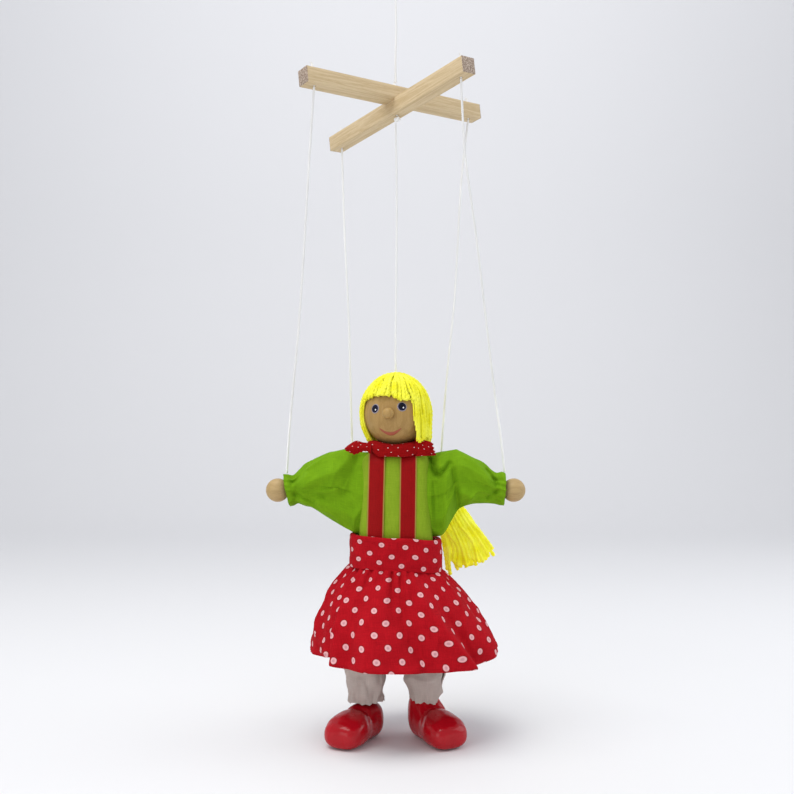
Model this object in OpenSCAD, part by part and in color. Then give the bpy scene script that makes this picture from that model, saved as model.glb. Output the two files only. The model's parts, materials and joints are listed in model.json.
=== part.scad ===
// A string marionette: a dressed wooden doll hung from a wooden cross control.
// Lengths are in millimetres. The origin is where the hanging loop is held, and the doll
// faces -Y. Heights named *_h are counted up from the soles of the shoes.
// Left and right are the doll's own: its right side is at -X.

/* [Hanging] */
// Height of the loop's inner top above the soles
hang_h = 418.5; // [400:0.5:460]
// Thickness of every string
string_d = 1.2; // [1:0.1:1.6]
// Drop of the hanging loop from its inner top to its knot
loop_drop = 22; // [16:1:30]
// Width of the hanging loop between the middles of its two runs
loop_w = 11; // [8:1:16]
// Diameter of a tied knot
knot_d = 3.2; // [2.8:0.1:4]

/* [Control] */
// Height of the middle of the cross above the soles
control_h = 337; // [320:0.5:345]
// Length of each bar of the cross
bar_l = 116; // [100:1:140]
// Side of the square bars
bar_w = 8; // [6:0.5:9]
// Depth of the lap where the two bars cross, both notches together
lap = 1.3; // [0.6:0.1:3]
// Distance from a bar's end to its string hole
hole_inset = 6.2; // [4.5:0.1:10]
// Diameter of the string holes in the bars
hole_d = 1.8; // [1.7:0.1:2.4]
// Turn of the cross about the vertical
control_yaw = -7; // [-20:1:20]
// Lean of the cross towards the front
control_pitch = -4; // [-8:0.5:4]
// Lean of the cross to one side
control_roll = -5.5; // [-8:0.5:4]

/* [Head] */
// Diameter of the wooden head
head_d = 34; // [30:0.5:36]
// Height of the head's centre above the soles
head_h = 171; // [170:0.5:178]
// Turn of the face to the doll's right
face_turn = 14; // [0:1:25]
// Diameter of the nose ball
nose_d = 6; // [5:0.5:8]
// Diameter of the painted eyes
eye_d = 5; // [4:0.2:6]
// Thickness of the hair over the head
hair_t = 2.5; // [1.8:0.1:3.5]
// Extra thickness of the hair on the crown
crown_t = 3.5; // [1:0.5:4]
// Distance of the ponytail's end from the middle
tail_x = 39; // [30:0.5:42]
// Distance of the ponytail behind the middle
tail_y = 29; // [29:0.5:31]
// Height of the ponytail's end above the soles
tail_end_h = 91; // [80:0.5:100]
// Width of the ponytail at its end
tail_w = 25; // [12:0.5:28]
// Thickness of the ponytail from front to back
tail_t = 8; // [5:0.5:8]
// Diameter of the cord that carries the head
neck_cord_d = 1.4; // [1.2:0.1:1.8]
// Diameter of the wooden neck bead
bead_d = 12; // [10:0.5:13]

/* [Body] */
// Width of the chest block
chest_w = 32; // [30:0.5:33]
// Depth of the chest block from front to back
chest_d = 15; // [12:0.5:16]
// Height of the chest block's top above the soles
chest_h = 150.5; // [149:0.5:151]
// Width of the hip block
pelvis_w = 41; // [40:0.5:41.5]
// Height of the shoulder hinges above the soles
shoulder_h = 142; // [140:0.5:143]
// Distance of the shoulder hinges from the middle
shoulder_x = 13; // [12:0.5:13.5]
// Height of the hip hinges above the soles
hip_h = 80; // [78:0.5:82]
// Distance of the hip hinges from the middle
hip_x = 16; // [15.5:0.5:16]
// Diameter of the hinge pins
pin_d = 2; // [1.6:0.1:2.4]

/* [Arms] */
// Distance of the hand balls from the middle
hand_x = 62.8; // [60:0.2:66]
// Height of the hand balls above the soles
hand_h = 130.5; // [126:0.5:136]
// Diameter of the hand balls
hand_d = 12.5; // [11:0.5:14]
// Diameter of the arm dowels
arm_d = 6; // [5:0.5:7]

/* [Legs] */
// Height of the knee hinges above the soles
knee_h = 48; // [46:0.5:50]
// Diameter of the thigh dowels
thigh_d = 8; // [7:0.5:9]
// Diameter of the shin dowels
shin_d = 6.5; // [5.5:0.5:7]
// Height of the shoes at the ankle
shoe_h = 18; // [16:0.5:19]
// Length of the shoes
shoe_l = 38; // [34:0.5:42]
// Width of the shoes
shoe_w = 20; // [18:0.5:22]
// Turn of each toe outwards
toe_turn = 29; // [15:1:40]

/* [Clothes] */
// Width of the shirt at the chest
shirt_w = 38; // [37:0.5:40]
// Depth of the shirt from front to back
shirt_d = 25; // [24:0.5:27]
// Width of each red strap
strap_w = 9; // [6:0.5:10]
// Distance between the middles of the straps
strap_gap = 17; // [14:0.5:18]
// Shift of both straps to the doll's right
strap_shift = 1.8; // [0:0.2:2]
// Width of the rolled scarf
scarf_w = 33; // [30:0.5:34]
// Depth of the rolled scarf from front to back
scarf_d = 27; // [25:0.5:28]
// Length of the scarf's end on the doll's right
right_flap_l = 11.5; // [8:0.5:12]
// Height of the scarf's end on the doll's right
right_flap_h = 8; // [5:0.5:8.5]
// Length of the scarf's end on the doll's left
left_flap_l = 7.5; // [5:0.5:9]
// Height of the scarf's end on the doll's left
left_flap_h = 9; // [5:0.5:9.5]
// Height of the sleeves where they leave the shirt
sleeve_h = 43.6; // [38:0.2:44]
// Depth of the sleeves from front to back
sleeve_d = 20; // [19:0.5:22]
// Width of the waistband
waist_w = 49; // [48:0.5:54]
// Depth of the waistband from front to back
waist_d = 34; // [33:0.5:40]
// Height of the waistband's lower edge, where the skirt starts
waist_h = 90; // [88:0.5:92]
// Height of the waistband's upper edge
waist_top_h = 107; // [104:0.5:110]
// Height of the skirt's hem above the soles
hem_h = 44; // [42:0.5:50]
// Width of the skirt at its hem
hem_w = 98; // [90:1:110]
// Depth of the skirt at its hem, from front to back
hem_d = 84; // [80:1:96]
// Number of folds round the skirt
skirt_folds = 13; // [9:1:16]
// Depth of the skirt's folds at the hem
fold_d = 3; // [1:0.5:4]
// Thickness of the skirt's cloth and hem
cloth_t = 1.4; // [1:0.1:2]
// Width of a trouser leg
trouser_d = 20.5; // [19.5:0.5:21]
// Thickness of the shirt, sleeve and trouser walls, lining and folds included
wall_t = 1.5; // [1:0.1:2]

/* [Hidden] */

// Sides: mirror() turns a left piece into a right one
right = -1;
left = 1;

// Smoothness of true curves, and of soft forms
$fn = 48;
ring_n = 24;
cord_n = 8;

// Play and overrun
soft_gap = 0.4;
seat_gap = 0.3;
pin_play = 0.05;
cord_play = 0.1;
over = 1;

// Heights and sizes worked out from the driving ones
function at(h) = h - hang_h;
head_r = head_d / 2;
hair_r = head_r + hair_t;
hair_top = hair_r + crown_t;
string_r = string_d / 2;
stack_half = bar_w - lap / 2;
hole_reach = bar_l / 2 - hole_inset;
knot_lift = stack_half + knot_d / 2 + 0.7 * string_r;

// Routes of the strings, from their knots down, chosen by hand from the photograph.
// Each is the middle of the string, in the part's own frame.
hanging_route = [[0, 0, -23.9], [0.3, 0, -43], [0, 0, -56], [0, 0, -70.9]];
head_route = [[0, 0, -93], [0.6, 0, -128], [0.4, 0, -170], [0, 0, -205], [0, 0, -224.4]];
right_hand_route = [
    [-40.8, -31.9, -84.4], [-41, -31.5, -86.7], [-41.1, -31.4, -87.3], [-42.6, -28.4, -105.9],
    [-44.2, -25.2, -125.4], [-47.6, -17.8, -170.5], [-51, -11.5, -208.3], [-53.6, -7.6, -230.9],
    [-56.5, -3.2, -258.5], [-58, 0, -279]
];
left_hand_route = [
    [32.2, -41.3, -83.5], [32.3, -40.9, -85.8], [32.3, -40.8, -86.4], [33.5, -36.9, -104.8],
    [35.3, -32.9, -123.2], [40.9, -25.4, -157.8], [47.2, -16, -202.6], [52.4, -8.4, -239.3],
    [55.9, -3.8, -261.7], [58, 0, -279]
];
right_leg_route = [
    [-30.8, 40.2, -95.3], [-30.7, 40, -97.6], [-30.7, 39.9, -98.2], [-29.9, 37.4, -121.8],
    [-28.9, 34.9, -147.1], [-26.3, 30, -197.7], [-24.4, 23.8, -260.4], [-21, 18, -321.1],
    [-18.2, 13, -365.6], [-16.2, 9.6, -397]
];
left_leg_route = [
    [40.9, 31.8, -81], [40.6, 31.6, -83.3], [40.5, 31.5, -83.9], [38.2, 30.4, -103.8],
    [36.2, 29, -126.1], [33, 25.2, -180.9], [28.6, 21.8, -225.5], [25, 18.6, -270.2],
    [21.2, 16, -329], [18.3, 13, -365.5], [16.2, 9.6, -397]
];

// Geometry of swept and lofted forms

// A flattened oval: half sizes, squareness (1 is an ellipse) and number of points
function oval(half_x, half_y, square, n) = [
    for (i = [0 : n - 1])
        let (a = 360 * i / n, c = cos(a), s = sin(a))
            [half_x * sign(c) * pow(abs(c), square), half_y * sign(s) * pow(abs(s), square)]
];

// Rings that lie square to Z, X or Y
function ring_z(p, z) = [for (q = p) [q[0], q[1], z]];
function ring_x(p, x, z) = [for (q = p) [x, q[0], z + q[1]]];
function ring_y(p, y, z) = [for (q = p) [-q[0], y, z + q[1]]];

function ring_faces(n, j, k) = [
    for (i = [0 : n - 1])
        let (next = (i + 1) % n)
            each [[j + i, k + i, k + next], [j + i, k + next, j + next]]
];

// A closed skin over rings of points, flat at both ends
module skin(rings) {
    n = len(rings[0]);
    last = (len(rings) - 1) * n;
    polyhedron(
        points = [for (r = rings) each r],
        faces = [
            [for (i = [0 : n - 1]) i],
            [for (i = [n - 1 : -1 : 0]) last + i],
            for (j = [0 : len(rings) - 2]) each ring_faces(n, j * n, (j + 1) * n)
        ]
    );
}

// A skin whose last ring joins its first, such as a tube with walls
module wrapped_skin(rings) {
    n = len(rings[0]);
    m = len(rings);
    polyhedron(
        points = [for (r = rings) each r],
        faces = [for (j = [0 : m - 1]) each ring_faces(n, j * n, ((j + 1) % m) * n)]
    );
}

// Direction of a route at one of its points
function heading(p, i) =
    let (a = p[max(i - 1, 0)], b = p[min(i + 1, len(p) - 1)]) (b - a) / norm(b - a);

// Ring of a tube round point i, kept upright against the Y axis
function tube_ring(p, i, r) =
    let (t = heading(p, i), u = cross([0, 1, 0], t) / norm(cross([0, 1, 0], t)), v = cross(t, u))
    [
        for (k = [0 : cord_n - 1])
            let (a = 360 * k / cord_n) p[i] + r * (cos(a) * u + sin(a) * v)
    ];

// String swept along a route
module cord(route) {
    skin([for (i = [0 : len(route) - 1]) tube_ring(route, i, string_r)]);
}

function part_of(route, first, last) = [for (i = [first : last]) route[i]];

// Places

module from_soles() translate([0, 0, at(0)]) children();
module on_side(side) mirror([side < 0 ? 1 : 0, 0, 0]) children();

// The middle of the cross, leaning as it hangs
module control_frame() {
    translate([0, 0, at(control_h)]) rotate([0, control_roll, 0])
        rotate([control_pitch, 0, 0]) rotate([0, 0, control_yaw]) children();
}

// Directions of the bars seen from above: the upper one ends over the doll's right hand,
// and the lower one over its left hand
upper_turn = -135;
lower_turn = -45;
level = stack_half - bar_w / 2;

// A string hole of one bar: end is 1 at the front and -1 at the back
module at_hole(turn, lift, end) {
    control_frame() rotate([0, 0, turn]) translate([end * hole_reach, 0, lift]) children();
}

// Hanging loop and strings

loop_n = 24;
loop_turn = 300;
loop_r = loop_w / 2;
loop_top = string_r;
loop_knot_z = -loop_drop;
loop_end = loop_drop - knot_d / 2 - seat_gap;

// Teardrop: a round top that runs down to the knot on both sides
function loop_point(a) =
    let (low = max(0, abs(a) - 90) / 60, drop = loop_r * (1 - cos(a)))
    [
        loop_r * sin(min(90, abs(a))) * sign(a) * (1 - 0.84 * low),
        0,
        loop_top - min(drop, loop_r) - low * (loop_end - loop_r + loop_top)
    ];

module hanging_loop() {
    route = [for (i = [0 : loop_n]) loop_point(loop_turn * (i / loop_n - 1 / 2))];
    color("white") cord(route);
}

module loop_knot() {
    color("white") translate([0, 0, loop_knot_z]) sphere(d = knot_d);
}

module hanging_string() {
    color("white") cord(hanging_route);
}

module head_string() {
    color("white") cord(head_route);
}

neck_knot_drop = 13.5;
neck_knot_h = chest_h - neck_knot_drop;
neck_knot_room = 0.4;

// Cord from the hair down through head and bead into the chest
module neck_cord() {
    color("white") from_soles() translate([0, 0, neck_knot_h + neck_knot_room])
        cylinder(d = neck_cord_d, h = head_h + hair_top - neck_knot_h - neck_knot_room);
}

module neck_knot() {
    color("white") from_soles() translate([0, 0, neck_knot_h - knot_d / 2 + neck_knot_room])
        sphere(d = knot_d);
}

// Cross control

// One square bar with its three string holes; notch is 1 on top and -1 underneath
module bar(turn, lift, notch) {
    control_frame() rotate([0, 0, turn]) translate([0, 0, lift]) difference() {
        cube([bar_l, bar_w, bar_w], center = true);
        for (end = [-1, 0, 1]) translate([end * hole_reach, 0, 0])
            cylinder(d = hole_d, h = bar_w + 2 * over, center = true);
        translate([0, 0, notch * (bar_w / 2 + over / 2 - lap / 4)])
            cube([bar_w, bar_w + 2 * over, lap / 2 + over], center = true);
    }
}

module lower_bar() color("burlywood") bar(lower_turn, -level, 1);
module upper_bar() color("burlywood") bar(upper_turn, level, -1);

// A knot that sits on a bar, with its string through the hole to the bar's underside
module seated_knot(through) {
    color("white") {
        translate([0, 0, knot_d * 0.4]) intersection() {
            sphere(d = knot_d);
            translate([0, 0, knot_d * 0.1]) cube([knot_d, knot_d, knot_d], center = true);
        }
        translate([0, 0, -through]) cylinder(d = string_d, h = through);
    }
}

module top_knot() {
    control_frame() translate([0, 0, stack_half]) seated_knot(2 * stack_half);
}

module end_knot(turn, lift, end) {
    at_hole(turn, lift + bar_w / 2, end) seated_knot(bar_w);
}

// Knot under the crossing, on which the cross rocks
module centre_knot() {
    color("white") control_frame() translate([0, 0, -knot_lift - 0.4 * string_r])
        sphere(d = knot_d);
}

// Limb strings: a short top that bends under the bar, and the long run below it
module string_top(route) color("white") cord(part_of(route, 0, 1));
module limb_string(route) color("white") cord(part_of(route, 2, len(route) - 1));

// Head

bead_low_h = chest_h + seat_gap;
bead_high_h = head_h - head_r - seat_gap;

module in_head() {
    from_soles() translate([0, 0, head_h]) rotate([0, 0, -face_turn]) children();
}

// A place on the head's surface: degrees round from the face, and up
module on_head(round_by, up_by, out_by) {
    in_head() rotate([0, 0, round_by]) rotate([-up_by, 0, 0]) translate([0, -out_by, 0])
        rotate([90, 0, 0]) children();
}

head_bore_d = neck_cord_d + 2 * cord_play;

module head_ball() {
    color("burlywood") in_head() difference() {
        sphere(d = head_d, $fn = 64);
        cylinder(d = head_bore_d, h = head_d + 2 * over, center = true);
    }
}

nose_up = 0;
nose_sink = 0.15;

module nose() {
    color("burlywood") difference() {
        on_head(2, nose_up, head_r + nose_d * (1 / 2 - nose_sink)) sphere(d = nose_d);
        in_head() sphere(d = head_d, $fn = 64);
    }
}

eye_round = 25.5;
eye_up = 10.5;
eye_slant = 1.7;
eye_t = 0.5;
eye_n = 180;

module eye(side) {
    color("midnightblue") difference() {
        on_head(side * eye_round, eye_up + side * eye_slant, head_r - eye_t)
            cylinder(d = eye_d, h = 2 * eye_t);
        in_head() sphere(d = head_d, $fn = eye_n);
    }
}

// Hair: a cap that follows the head above its middle and hangs straight below it
fringe_up = 8.2;
face_right = 61;
face_left = 49;
hair_steps = 9;
hair_close = 0.97;

function hair_out(z, r, top) =
    z > 0 ? r * sqrt(max(1 - pow(z / top, 2), 0)) : r * (1 - 0.06 * pow(z / r, 2));

module hair_form(r, top, low) {
    n = ring_n + 8;
    skin([
        for (i = [0 : hair_steps + 3])
            let (z = i < 3 ? low * (1 - i / 3) : top * sin(90 * hair_close * (i - 3) / hair_steps))
                ring_z(oval(hair_out(z, r, top), hair_out(z, r, top), 1, n), z)
    ]);
}

face_reach = 2 * head_d;

module hair_cap() {
    color("gold") in_head() difference() {
        hair_form(hair_r, hair_top, scarf_high_h + soft_gap - head_h);
        sphere(r = head_r + seat_gap, $fn = 64);
        translate([0, 0, -head_d]) cylinder(r = head_r + seat_gap - 1.2 * hair_t, h = head_d);
        translate([0, 0, -head_d]) linear_extrude(head_d + fringe_up) polygon([
            [0, 0],
            face_reach * [-sin(face_right), -cos(face_right)],
            face_reach * [0, -1],
            face_reach * [sin(face_left), -cos(face_left)]
        ]);
        cylinder(d = head_bore_d + 2 * soft_gap, h = head_d);
    }
}

tie_drop = 6.5;
tie_out = 2.8;
tie_h = head_h - tie_drop;
tie_y = hair_r + tie_out;
tie_d = 7;
tie_w = 3.2;

module hair_tie() {
    color("gold") from_soles() translate([0.4 * tie_d, tie_y, tie_h]) rotate([60, 0, 12])
        cylinder(d = tie_d, h = tie_w, center = true);
}

// Ponytail sections, from the tie down to the doll's left behind the waist: shares of the
// way out, back and down, and half sizes as shares of its end's width and thickness
tail_drop = 2.7;
tail_top_h = tie_h - tail_drop;
ponytail_shares = [
    [0.087, 0.869, 0, 0.12, 0.275], [0.128, 0.897, 0.068, 0.152, 0.375],
    [0.231, 0.948, 0.167, 0.176, 0.425], [0.462, 1, 0.336, 0.2, 0.45],
    [0.679, 1, 0.534, 0.216, 0.45], [0.821, 1, 0.703, 0.3, 0.475],
    [0.949, 1, 0.873, 0.44, 0.5], [1, 1, 1, 0.5, 0.425]
];

module ponytail() {
    last = len(ponytail_shares) - 1;
    color("gold") from_soles() skin([
        for (i = [0 : last])
            let (
                r = ponytail_shares[last - i],
                x = r[0] * tail_x,
                y = r[1] * tail_y,
                h = tail_top_h + r[2] * (tail_end_h - tail_top_h)
            )
            [for (q = oval(r[3] * tail_w, r[4] * tail_t, 1, ring_n)) [x + q[0], y + q[1], h]]
    ]);
}

// Torso

hinge_t = 4;
hinge_r = 4;
slot_t = hinge_t + 2 * cord_play;
slot_r = hinge_r + seat_gap;
pelvis_d = 14;
pelvis_rise = 18;
pelvis_top_h = hip_h + pelvis_rise;
knot_room_d = 1.3 * knot_d;

// A block with its four upright edges rounded
module rounded_block(size, r) {
    linear_extrude(size[2]) {
        square([size[0] - 2 * r, size[1]], center = true);
        square([size[0], size[1] - 2 * r], center = true);
        for (x = [-1, 1], y = [-1, 1])
            translate([x * (size[0] / 2 - r), y * (size[1] / 2 - r)]) circle(r);
    }
}

edge_r = 3;
yoke_rise = 0.7;
yoke_low_h = shoulder_h + slot_r + yoke_rise;
yoke_w = 0.75 * chest_w;
yoke_d = 0.74 * chest_d;

module chest(grow) {
    translate([0, 0, pelvis_top_h]) rounded_block(
        [chest_w + 2 * grow, chest_d + 2 * grow, yoke_low_h + grow - pelvis_top_h], edge_r
    );
    translate([0, 0, pelvis_top_h]) rounded_block(
        [yoke_w + 2 * grow, yoke_d + 2 * grow, chest_h + grow - pelvis_top_h], edge_r
    );
}

module torso_block() {
    color("burlywood") from_soles() difference() {
        union() {
            chest(0);
            translate([0, 0, hip_h])
                rounded_block([pelvis_w, pelvis_d, pelvis_top_h - hip_h], edge_r);
            translate([0, 0, hip_h]) rotate([0, 90, 0])
                cylinder(d = pelvis_d, h = pelvis_w, center = true);
        }
        for (side = [left, right]) on_side(side) {
            translate([shoulder_x, 0, shoulder_h]) rotate([90, 0, 0]) {
                cylinder(r = slot_r, h = slot_t, center = true);
                cylinder(d = pin_d, h = chest_d + 2 * over, center = true);
            }
            translate([shoulder_x, -slot_t / 2, shoulder_h - slot_r])
                cube([chest_w, slot_t, 2 * slot_r]);
            translate([shoulder_x, -slot_t / 2, shoulder_h - slot_r - hinge_r])
                cube([chest_w, slot_t, 2 * slot_r]);
            translate([hip_x, 0, hip_h]) rotate([0, 90, 0]) {
                cylinder(r = slot_r, h = slot_t, center = true);
                cylinder(d = pin_d, h = pelvis_w, center = true);
            }
            translate([hip_x - slot_t / 2, -pelvis_d, hip_h - pelvis_d])
                cube([slot_t, 2 * pelvis_d, pelvis_d]);
        }
        translate([0, 0, neck_knot_h]) cylinder(d = neck_cord_d, h = chest_h);
        translate([0, 0, neck_knot_h - knot_d / 2]) rotate([-90, 0, 0])
            cylinder(d = knot_room_d, h = chest_d);
        translate([0, 0, neck_knot_h - knot_d / 2]) sphere(d = knot_room_d);
    }
}

module neck_bead() {
    color("burlywood") from_soles() translate([0, 0, bead_low_h]) difference() {
        cylinder(d = bead_d, h = bead_high_h - bead_low_h);
        translate([0, 0, -over])
            cylinder(d = head_bore_d, h = bead_high_h - bead_low_h + 2 * over);
    }
}

pin_l = chest_d;

module shoulder_pin(side) {
    color("tan") from_soles() on_side(side) translate([shoulder_x, 0, shoulder_h])
        rotate([90, 0, 0]) cylinder(d = pin_d, h = pin_l, center = true);
}

hip_pin_l = 8.4;

module hip_pin(side) {
    color("tan") from_soles() on_side(side) translate([hip_x, 0, hip_h])
        rotate([0, 90, 0]) cylinder(d = pin_d, h = hip_pin_l, center = true);
}

// Clothes on the torso

// Shirt sections: shares of its height, half width and half depth
shirt_tuck = 4;
shirt_rise = 0.7;
shirt_low_h = waist_top_h - shirt_tuck;
shirt_high_h = chest_h + shirt_rise;
shirt_shares = [
    [0, 1.03, 1], [0.21, 1.02, 1.02], [0.52, 1, 1], [0.725, 0.98, 0.95],
    [0.85, 0.94, 0.84], [0.94, 0.84, 0.68], [1, 0.74, 0.58]
];
shirt_square = 0.6;
arm_hole_d = 16;

// The form grown or shrunk all round, with its open ends run past by reach
module shirt_form(grow, reach) {
    skin([
        for (r = shirt_shares)
            let (past = r[0] == 0 ? -reach : r[0] == 1 ? reach : 0)
                ring_z(
                    oval(r[1] * shirt_w / 2 + grow, r[2] * shirt_d / 2 + grow, shirt_square, ring_n),
                    shirt_low_h + r[0] * (shirt_high_h - shirt_low_h) + past
                )
    ]);
}

module shirt() {
    color("yellowgreen") from_soles() difference() {
        shirt_form(0, 0);
        shirt_form(-wall_t, over);
        chest(soft_gap);
        translate([0, 0, shoulder_h - hinge_r / 2]) rotate([0, 90, 0])
            cylinder(d = arm_hole_d, h = 2 * shirt_w, center = true);
        cylinder(d = bead_d + 2 * soft_gap, h = head_h);
    }
}

strap_t = 0.9;
strap_gap_t = 0.3;

// A strap lies on the shirt's front and back and runs over the shoulder
module strap(side) {
    color("crimson") from_soles() intersection() {
        difference() {
            shirt_form(strap_gap_t + strap_t, strap_gap_t + strap_t);
            shirt_form(strap_gap_t, strap_gap_t);
            cylinder(d = bead_d + 2 * soft_gap, h = head_h);
            translate([-shirt_w, -shirt_d, 0]) cube([2 * shirt_w, 2 * shirt_d, waist_top_h]);
        }
        translate([side * strap_gap / 2 - strap_shift - strap_w / 2, -shirt_d, 0])
            cube([strap_w, 2 * shirt_d, head_h]);
    }
}

// The scarf rises round the head and hangs down over the shirt's front
scarf_rise = 2.6;
scarf_drop = 2;
scarf_low_h = chest_h - scarf_drop;
scarf_high_h = head_h - head_r + scarf_rise;
scarf_in = bead_d / 2 + soft_gap;
scarf_shares = [[0, 0.44], [0.25, 0.49], [0.6, 0.5], [1, 0.42]];
flap_t = 1.2;
flap_turn = 4;

// Neckerchief: a rolled band with its two ends standing out to the sides
module scarf() {
    color("firebrick") from_soles() difference() {
        union() {
            skin([
                for (r = scarf_shares)
                    ring_z(oval(r[1] * scarf_w, r[1] * scarf_d, 1, ring_n),
                        scarf_low_h + r[0] * (scarf_high_h - scarf_low_h))
            ]);
            flap(right, right_flap_l, right_flap_h);
            flap(left, left_flap_l, left_flap_h);
        }
        cylinder(r = scarf_in, h = head_h);
        translate([0, 0, head_h]) sphere(r = head_r + soft_gap, $fn = 64);
        shirt_form(strap_t + 2 * strap_gap_t, strap_t + 2 * strap_gap_t);
    }
}

module flap(side, reach, tall) {
    on_side(side) translate([0.36 * scarf_w, -0.34 * scarf_d, scarf_high_h - tall])
        rotate([0, 0, flap_turn]) linear_extrude(tall) polygon([
            [0, 0], [reach / 2, -flap_t], [reach, -flap_t / 2], [reach, flap_t / 2],
            [reach / 2, 0], [0, flap_t]
        ]);
}

band_square = 0.8;
band_n = ring_n + 8;

// The waistband hugs the hip block below and the shirt above
module waistband() {
    at_hips = oval(pelvis_w / 2 + soft_gap, 1.02 * shirt_d / 2 + soft_gap, shirt_square, band_n);
    at_shirt = oval(1.03 * shirt_w / 2 + soft_gap, 1.02 * shirt_d / 2 + soft_gap, shirt_square, band_n);
    color("crimson") from_soles() difference() {
        skin([
            for (h = [waist_h, waist_top_h])
                ring_z(oval(waist_w / 2, waist_d / 2, band_square, band_n), h)
        ]);
        skin([
            ring_z(at_hips, waist_h - over), ring_z(at_hips, pelvis_top_h),
            ring_z(at_shirt, shirt_low_h - soft_gap), ring_z(at_shirt, waist_top_h + over)
        ]);
    }
}

skirt_n = 78;
skirt_steps = 6;
skirt_hang = waist_h - hem_h;
fold_phase = 40;

// Spread of the skirt at a share of the way down: it swells out early, then hangs
function skirt_share(down) = pow(down, 0.55);
function skirt_fold(a, down) = fold_d * pow(down, 0.8) * cos(skirt_folds * a + fold_phase);
function skirt_point(a, down, in) =
    let (
        x = waist_w / 2 + (hem_w - waist_w) / 2 * skirt_share(down) + skirt_fold(a, down) - in,
        y = waist_d / 2 + (hem_d - waist_d) / 2 * skirt_share(down) + skirt_fold(a, down) - in
    )
    [x * cos(a), y * sin(a), waist_h - down * skirt_hang];

function skirt_ring(down, in) = [
    for (i = [0 : skirt_n - 1]) skirt_point(360 * i / skirt_n, down, in)
];

slit_d = 9.5;

// Gathered skirt, with two slits under the waistband for the leg strings
module skirt() {
    color("crimson") difference() {
        from_soles() wrapped_skin([
            for (i = [skirt_steps : -1 : 0]) skirt_ring(pow(i / skirt_steps, 1.5), 0),
            for (i = [0 : skirt_steps]) skirt_ring(pow(i / skirt_steps, 1.5), cloth_t)
        ]);
        for (route = [right_leg_route, left_leg_route], i = [7, 8])
            hull() for (p = part_of(route, i, i + 1)) translate(p) sphere(d = slit_d, $fn = 12);
    }
}

// Arms, drawn on the doll's left

arm_slope = atan2(shoulder_h - hand_h, hand_x - shoulder_x);
arm_l = norm([hand_x - shoulder_x, shoulder_h - hand_h]);
arm_root = 7.5;
hand_peg_d = 3.2;
hand_sink = 0.6;

module in_arm(side) {
    from_soles() on_side(side) translate([shoulder_x, 0, shoulder_h])
        rotate([0, arm_slope, 0]) children();
}

module arm_dowel(side) {
    color("burlywood") in_arm(side) difference() {
        union() {
            rotate([90, 0, 0]) cylinder(r = hinge_r, h = hinge_t, center = true);
            translate([0, -hinge_t / 2, -arm_d / 2]) cube([arm_root, hinge_t, arm_d]);
            translate([arm_root, 0, 0]) rotate([0, 90, 0])
                cylinder(d = arm_d, h = arm_l - hand_d / 2 + hand_sink - arm_root);
            rotate([0, 90, 0]) translate([0, 0, arm_root])
                cylinder(d = hand_peg_d, h = arm_l - arm_root);
        }
        rotate([90, 0, 0])
            cylinder(d = pin_d + 2 * pin_play, h = hinge_t + 2 * over, center = true);
    }
}

module hand(side) {
    color("burlywood") in_arm(side) difference() {
        translate([arm_l, 0, 0]) sphere(d = hand_d);
        rotate([0, 90, 0]) cylinder(d = hand_peg_d, h = arm_l);
        rotate([0, 90, 0]) cylinder(d = arm_d + cord_play, h = arm_l - hand_d / 2 + hand_sink);
    }
}

// Sleeve sections: shares of the way out, lift over the hand as a share of the sleeve's
// height, and half height and half depth as shares of the whole
sleeve_in_x = 14;
cuff_past = 3.2;
sleeve_l = hand_x - cuff_past - sleeve_in_x;
sleeve_shares = [
    [0, -0.034, 0.5, 0.45], [0.138, -0.034, 0.5, 0.45], [0.285, 0.02, 0.472, 0.5],
    [0.504, 0.057, 0.39, 0.5], [0.702, 0.057, 0.284, 0.47], [0.811, 0.02, 0.229, 0.43],
    [0.89, 0.002, 0.174, 0.36], [1, -0.007, 0.197, 0.41]
];
sleeve_square = 0.9;

module sleeve_form(grow, reach) {
    skin([
        for (r = sleeve_shares)
            let (past = r[0] == 0 ? -reach : r[0] == 1 ? reach : 0)
                ring_x(
                    oval(r[3] * sleeve_d + grow, r[2] * sleeve_h + grow, sleeve_square, ring_n),
                    sleeve_in_x + r[0] * sleeve_l + past, hand_h + r[1] * sleeve_h
                )
    ]);
}

// A sleeve starts on the shirt's side and is gathered in before the hand
module sleeve(side) {
    color("yellowgreen") from_soles() on_side(side) difference() {
        sleeve_form(0, 0);
        sleeve_form(-wall_t, over);
        shirt_form(soft_gap, over);
        translate([shoulder_x, 0, shoulder_h]) rotate([0, 90 + arm_slope, 0])
            cylinder(d = arm_d + 2 * soft_gap, h = arm_l);
        translate([hand_x, 0, hand_h]) sphere(d = hand_d + 2 * soft_gap);
    }
}

// Legs, drawn on the doll's left

// The tongues are narrower than the dowels, to clear the slots when they turn
thigh_tongue_w = 0.88 * thigh_d;
shin_tongue_w = 0.76 * shin_d;

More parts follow.
